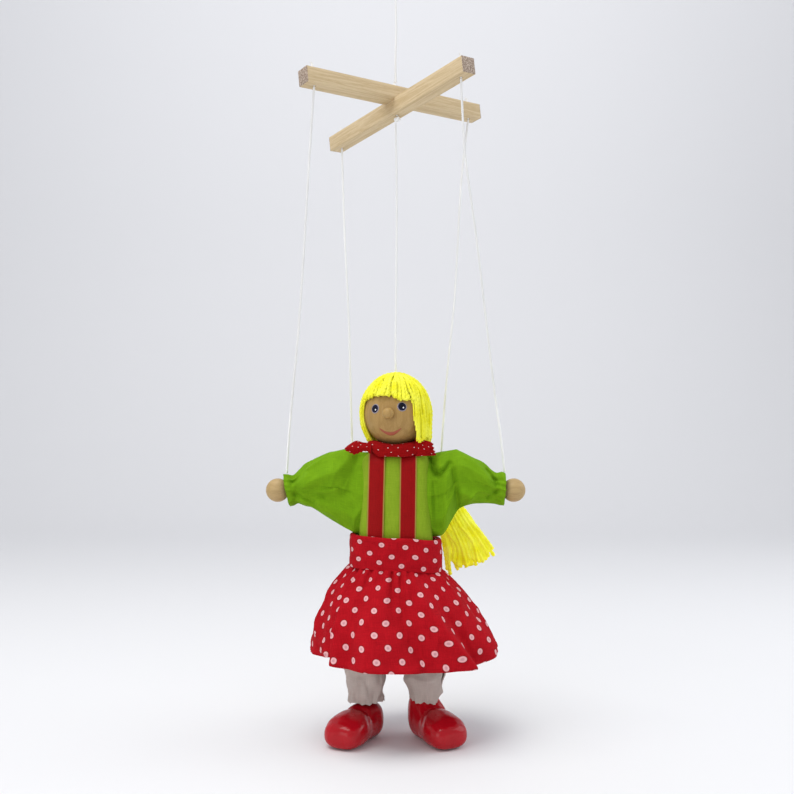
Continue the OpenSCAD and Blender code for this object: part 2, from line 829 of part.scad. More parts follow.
module thigh(side) {
    root = pelvis_d / 2 + seat_gap;
    color("burlywood") from_soles() on_side(side) translate([hip_x, 0, 0]) difference() {
        union() {
            translate([0, 0, hip_h]) rotate([0, 90, 0])
                cylinder(r = hinge_r, h = hinge_t, center = true);
            translate([-hinge_t / 2, -thigh_tongue_w / 2, hip_h - root - over])
                cube([hinge_t, thigh_tongue_w, root + over]);
            translate([0, 0, knee_h]) cylinder(d = thigh_d, h = hip_h - root - knee_h);
            translate([0, 0, knee_h]) rotate([0, 90, 0])
                cylinder(d = thigh_d, h = thigh_d, center = true);
        }
        translate([0, 0, hip_h]) rotate([0, 90, 0])
            cylinder(d = pin_d + 2 * pin_play, h = hinge_t + 2 * over, center = true);
        translate([0, 0, knee_h]) rotate([0, 90, 0]) {
            cylinder(r = slot_r, h = slot_t, center = true);
            cylinder(d = pin_d, h = thigh_d + 2 * over, center = true);
        }
        translate([-slot_t / 2, -thigh_d, knee_h - thigh_d]) cube([slot_t, 2 * thigh_d, thigh_d]);
    }
}

module knee_pin(side) {
    color("tan") from_soles() on_side(side) translate([hip_x, 0, knee_h])
        rotate([0, 90, 0]) cylinder(d = pin_d, h = 0.88 * thigh_d, center = true);
}

shin_root = 4.6;
peg_d = 4;
peg_h = 9;

module shin(side) {
    color("burlywood") from_soles() on_side(side) translate([hip_x, 0, 0]) difference() {
        union() {
            translate([0, 0, knee_h]) rotate([0, 90, 0])
                cylinder(r = hinge_r, h = hinge_t, center = true);
            translate([-hinge_t / 2, -shin_tongue_w / 2, knee_h - shin_root - over])
                cube([hinge_t, shin_tongue_w, shin_root + over]);
            translate([0, 0, shoe_h + seat_gap])
                cylinder(d = shin_d, h = knee_h - shin_root - shoe_h - seat_gap);
            translate([0, 0, peg_h]) cylinder(d = peg_d, h = shoe_h);
        }
        translate([0, 0, knee_h]) rotate([0, 90, 0])
            cylinder(d = pin_d + 2 * pin_play, h = hinge_t + 2 * over, center = true);
    }
}

// Trouser sections: shares of the leg's height and of its half width
trouser_low_h = shoe_h + seat_gap;
trouser_split_h = 50;
split_gap = 0.2;
trouser_top_h = hip_h - pelvis_d / 2 - soft_gap;
collar_h = 3;
ankle_h = 2;
leg_shares = [[0, 0.78], [0.083, 0.8], [0.244, 0.92], [0.498, 1], [0.784, 0.98], [1, 0.95]];
top_shares = [[0, 0.95], [0.482, 0.97], [1, 0.9]];

module trouser_form(shares, low, high) {
    skin([
        for (s = shares)
            let (r = s[1] * trouser_d / 2) ring_z(oval(r, r, 1, ring_n), low + s[0] * (high - low))
    ]);
}

// Room inside a trouser leg, from one end of its shares to the other
module trouser_room(shares, low, high) {
    translate([0, 0, low]) cylinder(
        r1 = shares[0][1] * trouser_d / 2 - wall_t,
        r2 = shares[len(shares) - 1][1] * trouser_d / 2 - wall_t,
        h = high - low
    );
}

// Upper half of a trouser leg, gathered to the thigh under the hip
module trouser_top(side) {
    low = trouser_split_h + split_gap;
    color("whitesmoke") from_soles() on_side(side) translate([hip_x, 0, 0]) difference() {
        trouser_form(top_shares, low, trouser_top_h);
        trouser_room(top_shares, low - over, trouser_top_h - collar_h);
        cylinder(d = thigh_d + 2 * soft_gap, h = hip_h);
    }
}

// Lower half, gathered to the shin over the shoe
module trouser_leg(side) {
    high = trouser_split_h - split_gap;
    color("whitesmoke") from_soles() on_side(side) translate([hip_x, 0, 0]) difference() {
        trouser_form(leg_shares, trouser_low_h, high);
        trouser_room(leg_shares, trouser_low_h + ankle_h, high + over);
        cylinder(d = shin_d + 2 * soft_gap, h = hip_h);
    }
}

// Shoe sections along its length from the toe: place, half width, lowest and highest point,
// each as a share of the shoe's length, width and ankle height
shoe_shares = [
    [-0.763, 0.1, 0.2, 0.45], [-0.74, 0.24, 0.08, 0.58], [-0.67, 0.385, -0.03, 0.72],
    [-0.56, 0.475, -0.06, 0.83], [-0.42, 0.5, -0.07, 0.88], [-0.29, 0.475, -0.07, 0.92],
    [-0.17, 0.44, -0.07, 1.04], [-0.04, 0.44, -0.07, 1.06], [0.08, 0.44, -0.05, 1.05],
    [0.17, 0.36, 0.03, 1], [0.22, 0.22, 0.18, 0.86], [0.237, 0.09, 0.35, 0.7]
];
sole_square = 0.75;

module shoe(side) {
    color("red") from_soles() on_side(side) translate([hip_x, 0, 0]) rotate([0, 0, toe_turn])
        difference() {
            skin([
                for (r = shoe_shares)
                    let (low = r[2] * shoe_h, high = min(r[3], 1) * shoe_h)
                        ring_y(oval(r[1] * shoe_w, (high - low) / 2, sole_square, ring_n),
                            r[0] * shoe_l, (high + low) / 2)
            ]);
            translate([-shoe_w, -shoe_l, -shoe_h]) cube([2 * shoe_w, 2 * shoe_l, shoe_h]);
            translate([0, 0, peg_h - seat_gap]) cylinder(d = peg_d + cord_play, h = shoe_h);
        }
}

hanging_loop();
loop_knot();
hanging_string();
head_string();
neck_cord();
neck_knot();
torso_block();
neck_bead();
shirt();
strap(right);  // right_strap
strap(left);  // left_strap
scarf();
waistband();
skirt();
shoulder_pin(right);  // right_shoulder_pin
shoulder_pin(left);  // left_shoulder_pin
hip_pin(right);  // right_hip_pin
hip_pin(left);  // left_hip_pin
centre_knot();
lower_bar();
upper_bar();
top_knot();
end_knot(upper_turn, level, 1);  // right_hand_knot
end_knot(lower_turn, -level, 1);  // left_hand_knot
end_knot(lower_turn, -level, -1);  // right_leg_knot
end_knot(upper_turn, level, -1);  // left_leg_knot
string_top(right_hand_route);  // right_hand_string_top
string_top(left_hand_route);  // left_hand_string_top
string_top(right_leg_route);  // right_leg_string_top
string_top(left_leg_route);  // left_leg_string_top
limb_string(right_hand_route);  // right_hand_string
limb_string(left_hand_route);  // left_hand_string
limb_string(right_leg_route);  // right_leg_string
limb_string(left_leg_route);  // left_leg_string
head_ball();
nose();
eye(right);  // right_eye
eye(left);  // left_eye
hair_cap();
hair_tie();
ponytail();
arm_dowel(right);  // right_arm_dowel
arm_dowel(left);  // left_arm_dowel
hand(right);  // right_hand
hand(left);  // left_hand
sleeve(right);  // right_sleeve
sleeve(left);  // left_sleeve
thigh(right);  // right_thigh
thigh(left);  // left_thigh
knee_pin(right);  // right_knee_pin
knee_pin(left);  // left_knee_pin
trouser_top(right);  // right_trouser_top
trouser_top(left);  // left_trouser_top
shin(right);  // right_shin
shin(left);  // left_shin
trouser_leg(right);  // right_trouser_leg
trouser_leg(left);  // left_trouser_leg
shoe(right);  // right_shoe
shoe(left);  // left_shoe
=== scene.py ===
# A string marionette: a dressed wooden doll on a wooden cross control.
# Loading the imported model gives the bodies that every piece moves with.
import json
from bisect import bisect
from contextlib import contextmanager
from functools import lru_cache
from math import atan2, ceil, cos, degrees, exp, hypot, pi, radians, sin, sqrt
from random import Random

import bpy
from mathutils import Matrix, Vector, geometry, noise

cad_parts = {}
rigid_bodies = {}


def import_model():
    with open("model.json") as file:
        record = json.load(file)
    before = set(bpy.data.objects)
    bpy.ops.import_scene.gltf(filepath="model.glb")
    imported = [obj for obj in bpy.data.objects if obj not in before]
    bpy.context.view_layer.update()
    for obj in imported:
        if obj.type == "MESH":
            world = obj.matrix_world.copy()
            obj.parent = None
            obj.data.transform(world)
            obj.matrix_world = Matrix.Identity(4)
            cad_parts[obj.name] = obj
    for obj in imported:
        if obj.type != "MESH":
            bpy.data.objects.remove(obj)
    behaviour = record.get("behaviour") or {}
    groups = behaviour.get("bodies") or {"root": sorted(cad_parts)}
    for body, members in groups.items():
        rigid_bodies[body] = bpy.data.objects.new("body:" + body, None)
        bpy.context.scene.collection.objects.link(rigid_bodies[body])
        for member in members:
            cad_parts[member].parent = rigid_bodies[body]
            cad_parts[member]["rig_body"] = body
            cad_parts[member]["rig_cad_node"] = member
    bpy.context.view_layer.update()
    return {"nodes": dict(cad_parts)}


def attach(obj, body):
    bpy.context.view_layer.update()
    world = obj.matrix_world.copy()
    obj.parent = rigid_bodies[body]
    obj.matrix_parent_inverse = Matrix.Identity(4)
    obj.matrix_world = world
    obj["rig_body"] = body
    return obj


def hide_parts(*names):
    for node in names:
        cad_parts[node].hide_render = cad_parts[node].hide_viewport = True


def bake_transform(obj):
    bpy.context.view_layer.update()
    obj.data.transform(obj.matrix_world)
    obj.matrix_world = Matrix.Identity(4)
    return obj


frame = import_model()
bpy.context.scene.view_settings.view_transform = "Standard"

# ---- Camera and studio ----
# The camera stands half a metre in front of the doll, level with its head, and a small
# shift keeps the strings upright as they are in the photograph.
sole_z = -0.4185

bpy.ops.object.camera_add(location=(0.0007, -0.532, -0.256), rotation=(pi / 2, 0, 0))
camera = bpy.context.object
camera.name = "studio_camera"
camera.data.sensor_fit = "HORIZONTAL"
camera.data.lens = 45.3
camera.data.shift_y = 0.0416
camera.data.clip_start = 0.02
bpy.context.scene.camera = camera


def feed(tree, node, sockets):
    """Sets or links a node's sockets. A colour is given by three numbers."""
    for name, value in sockets.items():
        socket = node.inputs[name]
        if isinstance(value, bpy.types.NodeSocket):
            tree.links.new(value, socket)
        else:
            socket.default_value = (*value, 1) if socket.type == "RGBA" else value


def add(tree, kind, sockets=None, **settings):
    """A shader node with its settings and sockets."""
    made = tree.nodes.new("ShaderNode" + kind)
    for name, value in settings.items():
        setattr(made, name, value)
    feed(tree, made, sockets or {})
    return made


def finish(name, colour, roughness, **sockets):
    """A material with one Principled shader; its node tree and shader are returned too."""
    material = bpy.data.materials.new(name)
    material.use_nodes = True
    tree = material.node_tree
    shader = tree.nodes["Principled BSDF"]
    given = {socket.replace("_", " "): value for socket, value in sockets.items()}
    feed(tree, shader, {"Base Color": colour, "Roughness": roughness, **given})
    return material, tree, shader


# The studio is a white sweep: a floor that curves up behind the doll.
sweep_bend = 0.6
sweep_side = [(y, 0.0) for y in (-1.6, -0.6, 0.0, 0.6, 1.0)]
for k in range(1, 11):
    a = k * pi / 20
    sweep_side.append((1.0 + sweep_bend * sin(a), sweep_bend - sweep_bend * cos(a)))
sweep_side.append((1.6, 2.2))
last = len(sweep_side) - 1


def sweep_point(u, v):
    y, z = sweep_side[round((1 - v) * last)]
    return (u - 0.5) * 5, y, sole_z - 0.0006 + z


def sheet_of(name, across, down, point):
    """A mesh grid with each point placed by its shares across and down, and those shares."""
    bpy.ops.mesh.primitive_grid_add(x_subdivisions=across, y_subdivisions=down, size=1)
    piece = bpy.context.object
    piece.name = name
    shares = [(p.co.x + 0.5, 0.5 - p.co.y) for p in piece.data.vertices]
    for p, (u, v) in zip(piece.data.vertices, shares):
        p.co = point(u, v)
    return piece, shares


sweep = sheet_of("studio_sweep", 2, last, sweep_point)[0]
bpy.ops.object.shade_smooth()
sweep.data.materials.append(finish("studio_white", (0.8, 0.8, 0.812), 0.8)[0])

world = bpy.data.worlds.new("studio_air")
world.use_nodes = True
background = world.node_tree.nodes["Background"]
feed(world.node_tree, background, {"Color": (0.93, 0.95, 1), "Strength": 0.62})
bpy.context.scene.world = world


def soft_light(name, place, aim, size, power, colour, spread=180):
    """An area light that the camera doesn't see."""
    bpy.ops.object.light_add(type="AREA", location=place)
    lamp = bpy.context.object
    lamp.name = name
    lamp.rotation_euler = (Vector(aim) - Vector(place)).to_track_quat("-Z", "Y").to_euler()
    lamp.data.size = size
    lamp.data.energy = power
    lamp.data.color = colour
    lamp.data.spread = radians(spread)
    lamp.visible_camera = False


soft_light("light_above", (-0.25, -0.2, 0.75), (0, 0, -0.3), 0.8, 8.4, (1, 0.99, 0.97))
soft_light("light_backdrop", (0, 0.3, 1.6), (0, 1.6, 1.25), 1.6, 6, (0.98, 0.98, 1), 110)
soft_light("light_front_left", (-0.7, -0.95, -0.2), (0, 0, -0.34), 0.8, 3.1, (1, 0.98, 0.95))
soft_light("light_right", (1.0, 0.1, 0.1), (0, 0, -0.3), 0.8, 3.4, (0.96, 0.98, 1))

# ---- Strings ----
# Five white cotton strings, three plies twisted together, 1.2 mm thick. The routes are
# those of the part's source: each string hangs straight, held by its own weight.
string_d = 0.0012
hanging_route = [[0, 0, -70.9], [0, 0, -56], [0.3, 0, -43], [0, 0, -23.9]]
head_route = [[0, 0, -93], [0.6, 0, -128], [0.4, 0, -170], [0, 0, -205], [0, 0, -224.4]]
limb_routes = {
    "right_hand": [
        [-40.8, -31.9, -84.4], [-41, -31.5, -86.7], [-41.1, -31.4, -87.3],
        [-42.6, -28.4, -105.9], [-44.2, -25.2, -125.4], [-47.6, -17.8, -170.5],
        [-51, -11.5, -208.3], [-53.6, -7.6, -230.9], [-56.5, -3.2, -258.5], [-58, 0, -279],
    ],
    "left_hand": [
        [32.2, -41.3, -83.5], [32.3, -40.9, -85.8], [32.3, -40.8, -86.4], [33.5, -36.9, -104.8],
        [35.3, -32.9, -123.2], [40.9, -25.4, -157.8], [47.2, -16, -202.6], [52.4, -8.4, -239.3],
        [55.9, -3.8, -261.7], [58, 0, -279],
    ],
    "right_leg": [
        [-30.8, 40.2, -95.3], [-30.7, 40, -97.6], [-30.7, 39.9, -98.2], [-29.9, 37.4, -121.8],
        [-28.9, 34.9, -147.1], [-26.3, 30, -197.7], [-24.4, 23.8, -260.4], [-21, 18, -321.1],
        [-18.2, 13, -365.6], [-16.2, 9.6, -397],
    ],
    "left_leg": [
        [40.9, 31.8, -81], [40.6, 31.6, -83.3], [40.5, 31.5, -83.9], [38.2, 30.4, -103.8],
        [36.2, 29, -126.1], [33, 25.2, -180.9], [28.6, 21.8, -225.5], [25, 18.6, -270.2],
        [21.2, 16, -329], [18.3, 13, -365.5], [16.2, 9.6, -397],
    ],
}


def along(route, step):
    """Points about a step apart on one smooth line through a route in millimetres."""
    stops = [Vector(p) / 1000 for p in route]
    ends = [2 * stops[0] - stops[1], *stops, 2 * stops[-1] - stops[-2]]
    line = []
    for before, a, b, after in zip(ends, ends[1:], ends[2:], ends[3:]):
        count = max(2, ceil((b - a).length / step) + 1)
        handles = a + (b - before) / 6, b - (after - a) / 6
        line += geometry.interpolate_bezier(a, handles[0], handles[1], b, count)[:-1]
    return line + [stops[-1]]


def only(piece):
    """Selects one object and nothing else."""
    bpy.ops.object.select_all(action="DESELECT")
    piece.select_set(True)
    bpy.context.view_layer.objects.active = piece


def yarn(name, lines, thickness, plies, groove, lay, sides=12, tuft=0):
    """Twisted yarn along each line: a lobed outline that turns once in every lay. With a
    tuft its last end is fuller by that share."""
    outline = bpy.data.curves.new(name + "_outline", "CURVE")
    ring = outline.splines.new("POLY")
    ring.points.add(sides - 1)
    ring.use_cyclic_u = True
    for k, point in enumerate(ring.points):
        a = 2 * pi * k / sides
        r = thickness / 2 * (1 - groove * (1 - cos(plies * a)) / 2)
        point.co = (r * cos(a), r * sin(a), 0, 1)
    outline_object = bpy.data.objects.new(name + "_outline", outline)
    bpy.context.collection.objects.link(outline_object)
    curve = bpy.data.curves.new(name, "CURVE")
    curve.dimensions = "3D"
    curve.twist_mode = "MINIMUM"
    curve.bevel_mode = "OBJECT"
    curve.bevel_object = outline_object
    curve.use_fill_caps = True
    for n, line in enumerate(lines):
        spline = curve.splines.new("POLY")
        spline.points.add(len(line) - 1)
        turned = n * 0.7
        for i, p in enumerate(line):
            if i:
                turned += (p - line[i - 1]).length / lay * 2 * pi
            spline.points[i].co = (*p, 1)
            spline.points[i].tilt = turned
            to_end = len(line) - 1 - i
            spline.points[i].radius = 1 + tuft * exp(-to_end / 3.5)
            if tuft and to_end == 0:
                spline.points[i].radius -= 0.3
    made = bpy.data.objects.new(name, curve)
    bpy.context.collection.objects.link(made)
    only(made)
    bpy.ops.object.convert(target="MESH")
    made = bpy.context.object
    bpy.ops.object.shade_smooth()
    bpy.data.objects.remove(outline_object)
    return made


def mix(tree, share, a, b):
    """A colour between two."""
    return add(tree, "Mix", {"Factor": share, "A": a, "B": b}, data_type="RGBA").outputs[2]


def cloud(tree, vector, scale, detail, distortion=0):
    """Soft noise between 0 and 1."""
    sockets = {"Vector": vector, "Scale": scale, "Detail": detail, "Distortion": distortion}
    return add(tree, "TexNoise", sockets).outputs["Fac"]


def cover(tree, shader, colour, height, strength, distance):
    """Gives a shader its colour, and raises it by a height."""
    bump = {"Height": height, "Strength": strength, "Distance": distance}
    normal = add(tree, "Bump", bump).outputs["Normal"]
    feed(tree, shader, {"Base Color": colour, "Normal": normal})


def dress(piece, material, node, body=None):
    """A piece's material, the CAD node that it stands for, and its body if one is given."""
    piece.data.materials.append(material)
    if body:
        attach(piece, body)
    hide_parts(node)


cotton_string, tree, shader = finish("cotton_string", (0.8, 0.8, 0.76), 0.9, Sheen_Weight=0.4)
fluff = cloud(tree, add(tree, "TexCoord").outputs["Object"], 2600, 3)
white = mix(tree, fluff, (0.96, 0.96, 0.95), (0.87, 0.87, 0.85))
cover(tree, shader, white, fluff, 0.25, 0.0002)


def cord_piece(name, route, body, node):
    """A string along a route; the points that it follows are returned too."""
    line = along(route, 0.0003)
    piece = yarn(name, [line], string_d * 1.08, 3, 0.2, 0.0027)
    dress(piece, cotton_string, node, body)
    return piece, line


for limb, route in limb_routes.items():
    body = limb + "_string"
    top, line = cord_piece(limb + "_cord_top", route[:3], body + "_top", body + "_top")
    run, line = cord_piece(limb + "_cord", route[2:], body, body)

centre_cord, line = cord_piece("centre_cord", head_route, "torso", "head_string")

# ---- Hanging loop and knots ----
# The hanging string ends in a tied loop above the picture. Every knot is an overhand knot
# in the same string, pulled down on the bar, with a short frayed tail.
loop_r, loop_top, loop_foot = 5.5, 0.6, 20.1
loop_route = []
for k in range(25):
    a = -150 + 12.5 * k
    low = max(0, abs(a) - 90) / 60
    x = loop_r * sin(radians(min(90, abs(a)))) * (1 if a > 0 else -1) * (1 - 0.84 * low)
    z = loop_top - min(loop_r * (1 - cos(radians(a))), loop_r)
    loop_route.append([x, 0, z - low * (loop_foot - loop_r + loop_top)])
loop_line = along(loop_route, 0.0004)
hanging_loop = yarn("loop_of_string", [loop_line], string_d, 3, 0.24, 0.0027)


def knot_lines(tail, shaft):
    """A trefoil of string with a tail on top and the string running out below, in mm."""
    turns = []
    for k in range(73):
        t = 2 * pi * k / 72
        x, y = 0.37 * (sin(t) + 2 * sin(2 * t)), 0.37 * (cos(t) - 2 * cos(2 * t))
        turns.append(Vector((x, y, 0.42 * -sin(3 * t) + 0.95)) / 1000)
    lines = [turns]
    if shaft:
        below = [[0, 0, -shaft], [0, 0, -shaft / 2], [0, 0.1, 0.2], [0.2, 0.3, 1]]
        lines.append(along(below, 0.0004))
    if tail:
        above = [[0.3, -0.2, 0.8], [0.5, 0.1, 1.7], [0.2, 0.5, 2 + tail]]
        lines.append(along(above, 0.0004))
    return lines


def tied(name, node, body, where, tail=0, shaft=0):
    """A knot, moved from the origin to its place. A tail ends in a tuft of loose threads."""
    piece = yarn(name, knot_lines(tail, shaft), 0.00115, 3, 0.24, 0.0024, sides=9)
    if tail:
        seed = Random(name)
        lines = []
        for _ in range(9):
            x, y = seed.uniform(-1.1, 1.1), seed.uniform(-1.1, 1.1)
            lines.append(along([
                [0.3, 0.4, 1.4 + tail], [0.3 + x * 0.5, 0.4 + y * 0.5, 2.2 + tail],
                [0.3 + x, 0.4 + y, 2.6 + tail + seed.uniform(0, 1)],
            ], 0.0004))
        tuft = yarn(name + "_tuft", lines, 0.00022, 2, 0.1, 0.002, sides=5)
        only(piece)
        tuft.select_set(True)
        bpy.ops.object.join()
    piece.data.transform(where)
    dress(piece, cotton_string, node, body)
    return piece


def spun(angle, axis="Z"):
    """A rotation by degrees."""
    return Matrix.Rotation(radians(angle), 4, axis)


# The cross hangs a little out of level, turned about its middle
lean = spun(-5.5, "Y") @ spun(-4, "X") @ spun(-7)
cross = Matrix.Translation((0, 0, -0.0815)) @ lean


def on_cross(turn, reach, lift):
    """A place on the cross: the turn of its bar, how far along it, and how far up."""
    return cross @ spun(turn) @ Matrix.Translation((reach, 0, lift))


# Where the holes are along the bars, how far a bar's middle is from the cross's, and half
# the thickness of a bar
hole_reach, bar_lift, bar_half = 0.0518, 0.00335, 0.004
for name, node, turn, reach, lift, tail, shaft in (
    ("middle_knot_top", "top_knot", 20, 0, bar_lift, 1.2, 14.7),
    ("right_hand_tie", "right_hand_knot", -135, hole_reach, bar_lift, 1, 8),
    ("left_leg_tie", "left_leg_knot", -135, -hole_reach, bar_lift, 1, 8),
    ("left_hand_tie", "left_hand_knot", -45, hole_reach, -bar_lift, 1, 8),
    ("right_leg_tie", "right_leg_knot", -45, -hole_reach, -bar_lift, 1, 8),
):
    tied(name, node, "control", on_cross(turn, reach, lift + bar_half), tail, shaft)
under_cross = on_cross(0, 0, -0.0106) @ Matrix.Scale(1.25, 4)
tied("middle_knot_under", "centre_knot", "centre_knot", under_cross)
loop_tie = tied("loop_tie", "loop_knot", "torso", Matrix.Translation((0, 0, -0.0229)))
dress(hanging_loop, cotton_string, "hanging_loop", "torso")
hanging_cord, line = cord_piece("hanging_cord", hanging_route, "torso", "hanging_string")

# ---- Wood ----
# One grain effect serves all the wood: long soft streaks along X with fine pores, given
# in millimetres and turned to each piece by a Mapping node.
socket_kinds = {"Vector": "Vector", "Light": "Color", "Dark": "Color", "Color": "Color"}


def group(name, inputs, outputs):
    """A node group; the sockets of its input node and its output node are returned too."""
    tree = bpy.data.node_groups.new(name, "ShaderNodeTree")
    for way, labels in (("INPUT", inputs), ("OUTPUT", outputs)):
        for label in labels.split():
            kind = "NodeSocket" + socket_kinds.get(label, "Float")
            tree.interface.new_socket(label, in_out=way, socket_type=kind)
    return tree, tree.nodes.new("NodeGroupInput").outputs, tree.nodes.new("NodeGroupOutput")


def mapped(tree, vector, **sockets):
    """A place that a Mapping node moves, turns or scales."""
    return add(tree, "Mapping", {"Vector": vector, **sockets}).outputs[0]


def scaled(tree, vector, by):
    """A place times a number."""
    return add(tree, "VectorMath", {0: vector, "Scale": by}, operation="SCALE").outputs[0]


def calc(tree, operation, *values):
    """The result of a Math node."""
    return add(tree, "Math", dict(enumerate(values)), operation=operation).outputs[0]


def span(tree, value, low, high, to_low=0, to_high=1):
    """A value brought from one range to another, and cut off at its ends."""
    ends = {"From Min": low, "From Max": high, "To Min": to_low, "To Max": to_high}
    return add(tree, "MapRange", {"Value": value, **ends}).outputs[0]


grain, ins, out = group("wood_grain", "Vector Light Dark Ring", "Color Height")
streaks = mapped(grain, ins["Vector"], Scale=(0.05, 1, 1))
rings = calc(grain, "MULTIPLY", cloud(grain, streaks, ins["Ring"], 4, 0.6), 9)
rings = calc(grain, "MULTIPLY", calc(grain, "PINGPONG", rings, 1), 0.62)
pores = mapped(grain, ins["Vector"], Scale=(0.25, 5, 5))
pores = span(grain, cloud(grain, pores, 1.1, 2), 0.35, 0.62)
share = calc(grain, "MULTIPLY_ADD", pores, 0.38, rings)
feed(grain, out, {"Color": mix(grain, share, ins["Light"], ins["Dark"]), "Height": share})


def wood(name, light, dark, turn, ring, roughness, depth, middle=(0, 0, 0)):
    """Wood with its grain along a piece; turn brings the piece's length to X, and middle its
    middle to zero. What paints it is returned too, for what is added to it."""
    material, tree, shader = finish(name, light, roughness, Specular_IOR_Level=0.22)
    place = add(tree, "TexCoord").outputs["Object"]
    place = mapped(tree, place, Rotation=turn, Location=middle, Scale=(1000, 1000, 1000))
    sockets = {"Vector": place, "Light": light, "Dark": dark, "Ring": ring}
    look = add(tree, "Group", sockets, node_tree=grain).outputs
    cover(tree, shader, look["Color"], look["Height"], 0.5, depth)
    return material, tree, shader, place, look["Color"]


@contextmanager
def editing(piece):
    """Edit mode with the whole of one mesh selected."""
    only(piece)
    bpy.ops.object.mode_set(mode="EDIT")
    bpy.ops.mesh.select_all(action="SELECT")
    yield
    bpy.ops.object.mode_set(mode="OBJECT")


def eased(node, width):
    """A copy of a CAD node with its sharp edges rounded off."""
    piece = frame["nodes"][node].copy()
    piece.data = piece.data.copy()
    piece.parent = None
    piece.name = node + "_eased"
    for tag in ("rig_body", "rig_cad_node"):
        if tag in piece:
            del piece[tag]
    bpy.context.collection.objects.link(piece)
    with editing(piece):
        bpy.ops.mesh.remove_doubles(threshold=1e-6)
        bpy.ops.mesh.dissolve_limited(angle_limit=radians(2))
        bpy.ops.mesh.customdata_custom_splitnormals_clear()
    edge = piece.modifiers.new("edge", "BEVEL")
    edge.width, edge.segments = width, 3
    edge.limit_method, edge.angle_limit = "ANGLE", radians(40)
    bpy.ops.object.modifier_apply(modifier="edge")
    bpy.ops.object.shade_smooth_by_angle(angle=radians(35))
    piece.data.materials.clear()
    return piece


# ---- Cross control ----
# Two plain square bars of pale softwood, sanded, with their corners just broken. The
# upper one lies in a shallow notch of the lower one, and the string holes go through.
for node, turn in (("upper_bar", -135), ("lower_bar", -45)):
    bar = eased(node, 0.0008)
    to_bar = (lean @ spun(turn)).to_3x3().transposed()
    bar_wood, tree, shader, place, grained = wood(
        node + "_wood", (0.68, 0.545, 0.35), (0.5, 0.37, 0.2), to_bar.to_euler("XYZ"), 0.32,
        0.62, 0.00008, to_bar @ cross.translation * -1000,
    )
    # The sawn ends, 58 mm from the middle, are greyer, with open pores
    reach = calc(tree, "ABSOLUTE", add(tree, "SeparateXYZ", {"Vector": place}).outputs["X"])
    open_pores = span(tree, cloud(tree, place, 1.6, 4), 0.42, 0.6)
    end_grain = mix(tree, open_pores, (0.24, 0.17, 0.13), (0.55, 0.45, 0.36))
    sawn = span(tree, reach, 57.6, 57.8)
    feed(tree, shader, {"Base Color": mix(tree, sawn, grained, end_grain)})
    dress(bar, bar_wood, node, "control")

# ---- Head ----
# A turned ball of pale wood under a thin varnish, with a small ball glued on for a nose.
# The eyes are stamped in three coats topped by a painted highlight, and the mouth is one
# thin brushed line.
head_middle = Vector((0, 0, -0.2475))
head_r = 0.017
face_turn = radians(-14)

varnished = wood(
    "varnished_wood", (0.45, 0.285, 0.102), (0.35, 0.208, 0.065), (0, pi / 2, 0), 0.2, 0.4, 0.00004
)[0]
hand_wood = wood(
    "hand_wood", (0.52, 0.37, 0.175), (0.4, 0.27, 0.115), (0, 0, 0), 0.3, 0.45, 0.00004
)[0]
bare_wood = wood(
    "bare_wood", (0.5, 0.375, 0.22), (0.38, 0.265, 0.14), (0, pi / 2, 0), 0.35, 0.66, 0.00006
)[0]


def painted_node(node, material):
    """Gives a CAD node that stays as it is a better material."""
    slots = frame["nodes"][node].data.materials
    slots.clear()
    slots.append(material)


for node in ("head_ball", "nose", "neck_bead"):
    painted_node(node, varnished)


def on_head(round_by, up_by, out):
    """A point over the head, in degrees round from the middle of the face and up."""
    a, b = radians(round_by) + face_turn, radians(up_by)
    way = Vector((sin(a) * cos(b), -cos(a) * cos(b), sin(b)))
    return head_middle + way * out, way


rim_paint = finish("eye_rim", (0.3, 0.26, 0.3), 0.4, Specular_IOR_Level=0.3)[0]
iris_paint, tree, shader = finish("eye_blue", (0.006, 0.008, 0.05), 0.3, Specular_IOR_Level=0.2)
streak = cloud(tree, add(tree, "TexCoord").outputs["Object"], 1500, 2)
feed(tree, shader, {"Base Color": mix(tree, streak, (0.003, 0.004, 0.016), (0.005, 0.006, 0.034))})
pupil_paint = finish("eye_black", (0.003, 0.003, 0.006), 0.2, Specular_IOR_Level=0.25)[0]
# The small white spot low on the right of each pupil is a painted highlight.
highlight_paint = finish("eye_highlight", (0.85, 0.85, 0.9), 0.25, Coat_Weight=0.5)[0]

# Each coat: radius, half height, lift of its middle, shift right and up, paint
eye_coats = [
    (2.55, 0.4, -0.14, 0, 0, rim_paint), (2.2, 0.42, -0.04, 0, 0, iris_paint),
    (1.3, 0.3, 0.14, 0, 0, pupil_paint), (0.42, 0.14, 0.36, 0.62, -0.62, highlight_paint),
]
for side, name in ((-1, "right_eye"), (1, "left_eye")):
    place, way = on_head(side * 25.5, 10.5 + side * 1.7, head_r)
    on_face = Matrix.Translation(place) @ way.to_track_quat("Z", "Y").to_matrix().to_4x4()
    coats = []
    for radius, height, lift, x, y, paint in eye_coats:
        bpy.ops.mesh.primitive_uv_sphere_add(segments=32, ring_count=14, radius=0.001)
        coat = bpy.context.object
        lifted = Matrix.Translation(Vector((x, y, lift)) / 1000)
        coat.data.transform(on_face @ lifted @ Matrix.Diagonal((radius, radius, height, 1)))
        coat.data.materials.append(paint)
        bpy.ops.object.shade_smooth()
        coats.append(coat)
    only(coats[0])
    for coat in coats:
        coat.select_set(True)
    bpy.ops.object.join()
    coats[0].name = name + "_painted"
    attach(coats[0], "head")
    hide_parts(name)


def thicken(piece, thickness, offset=-1):
    """Makes the active sheet solid, to its inside where offset is -1."""
    thick = piece.modifiers.new("thick", "SOLIDIFY")
    thick.thickness, thick.offset = thickness, offset
    bpy.ops.object.modifier_apply(modifier="thick")


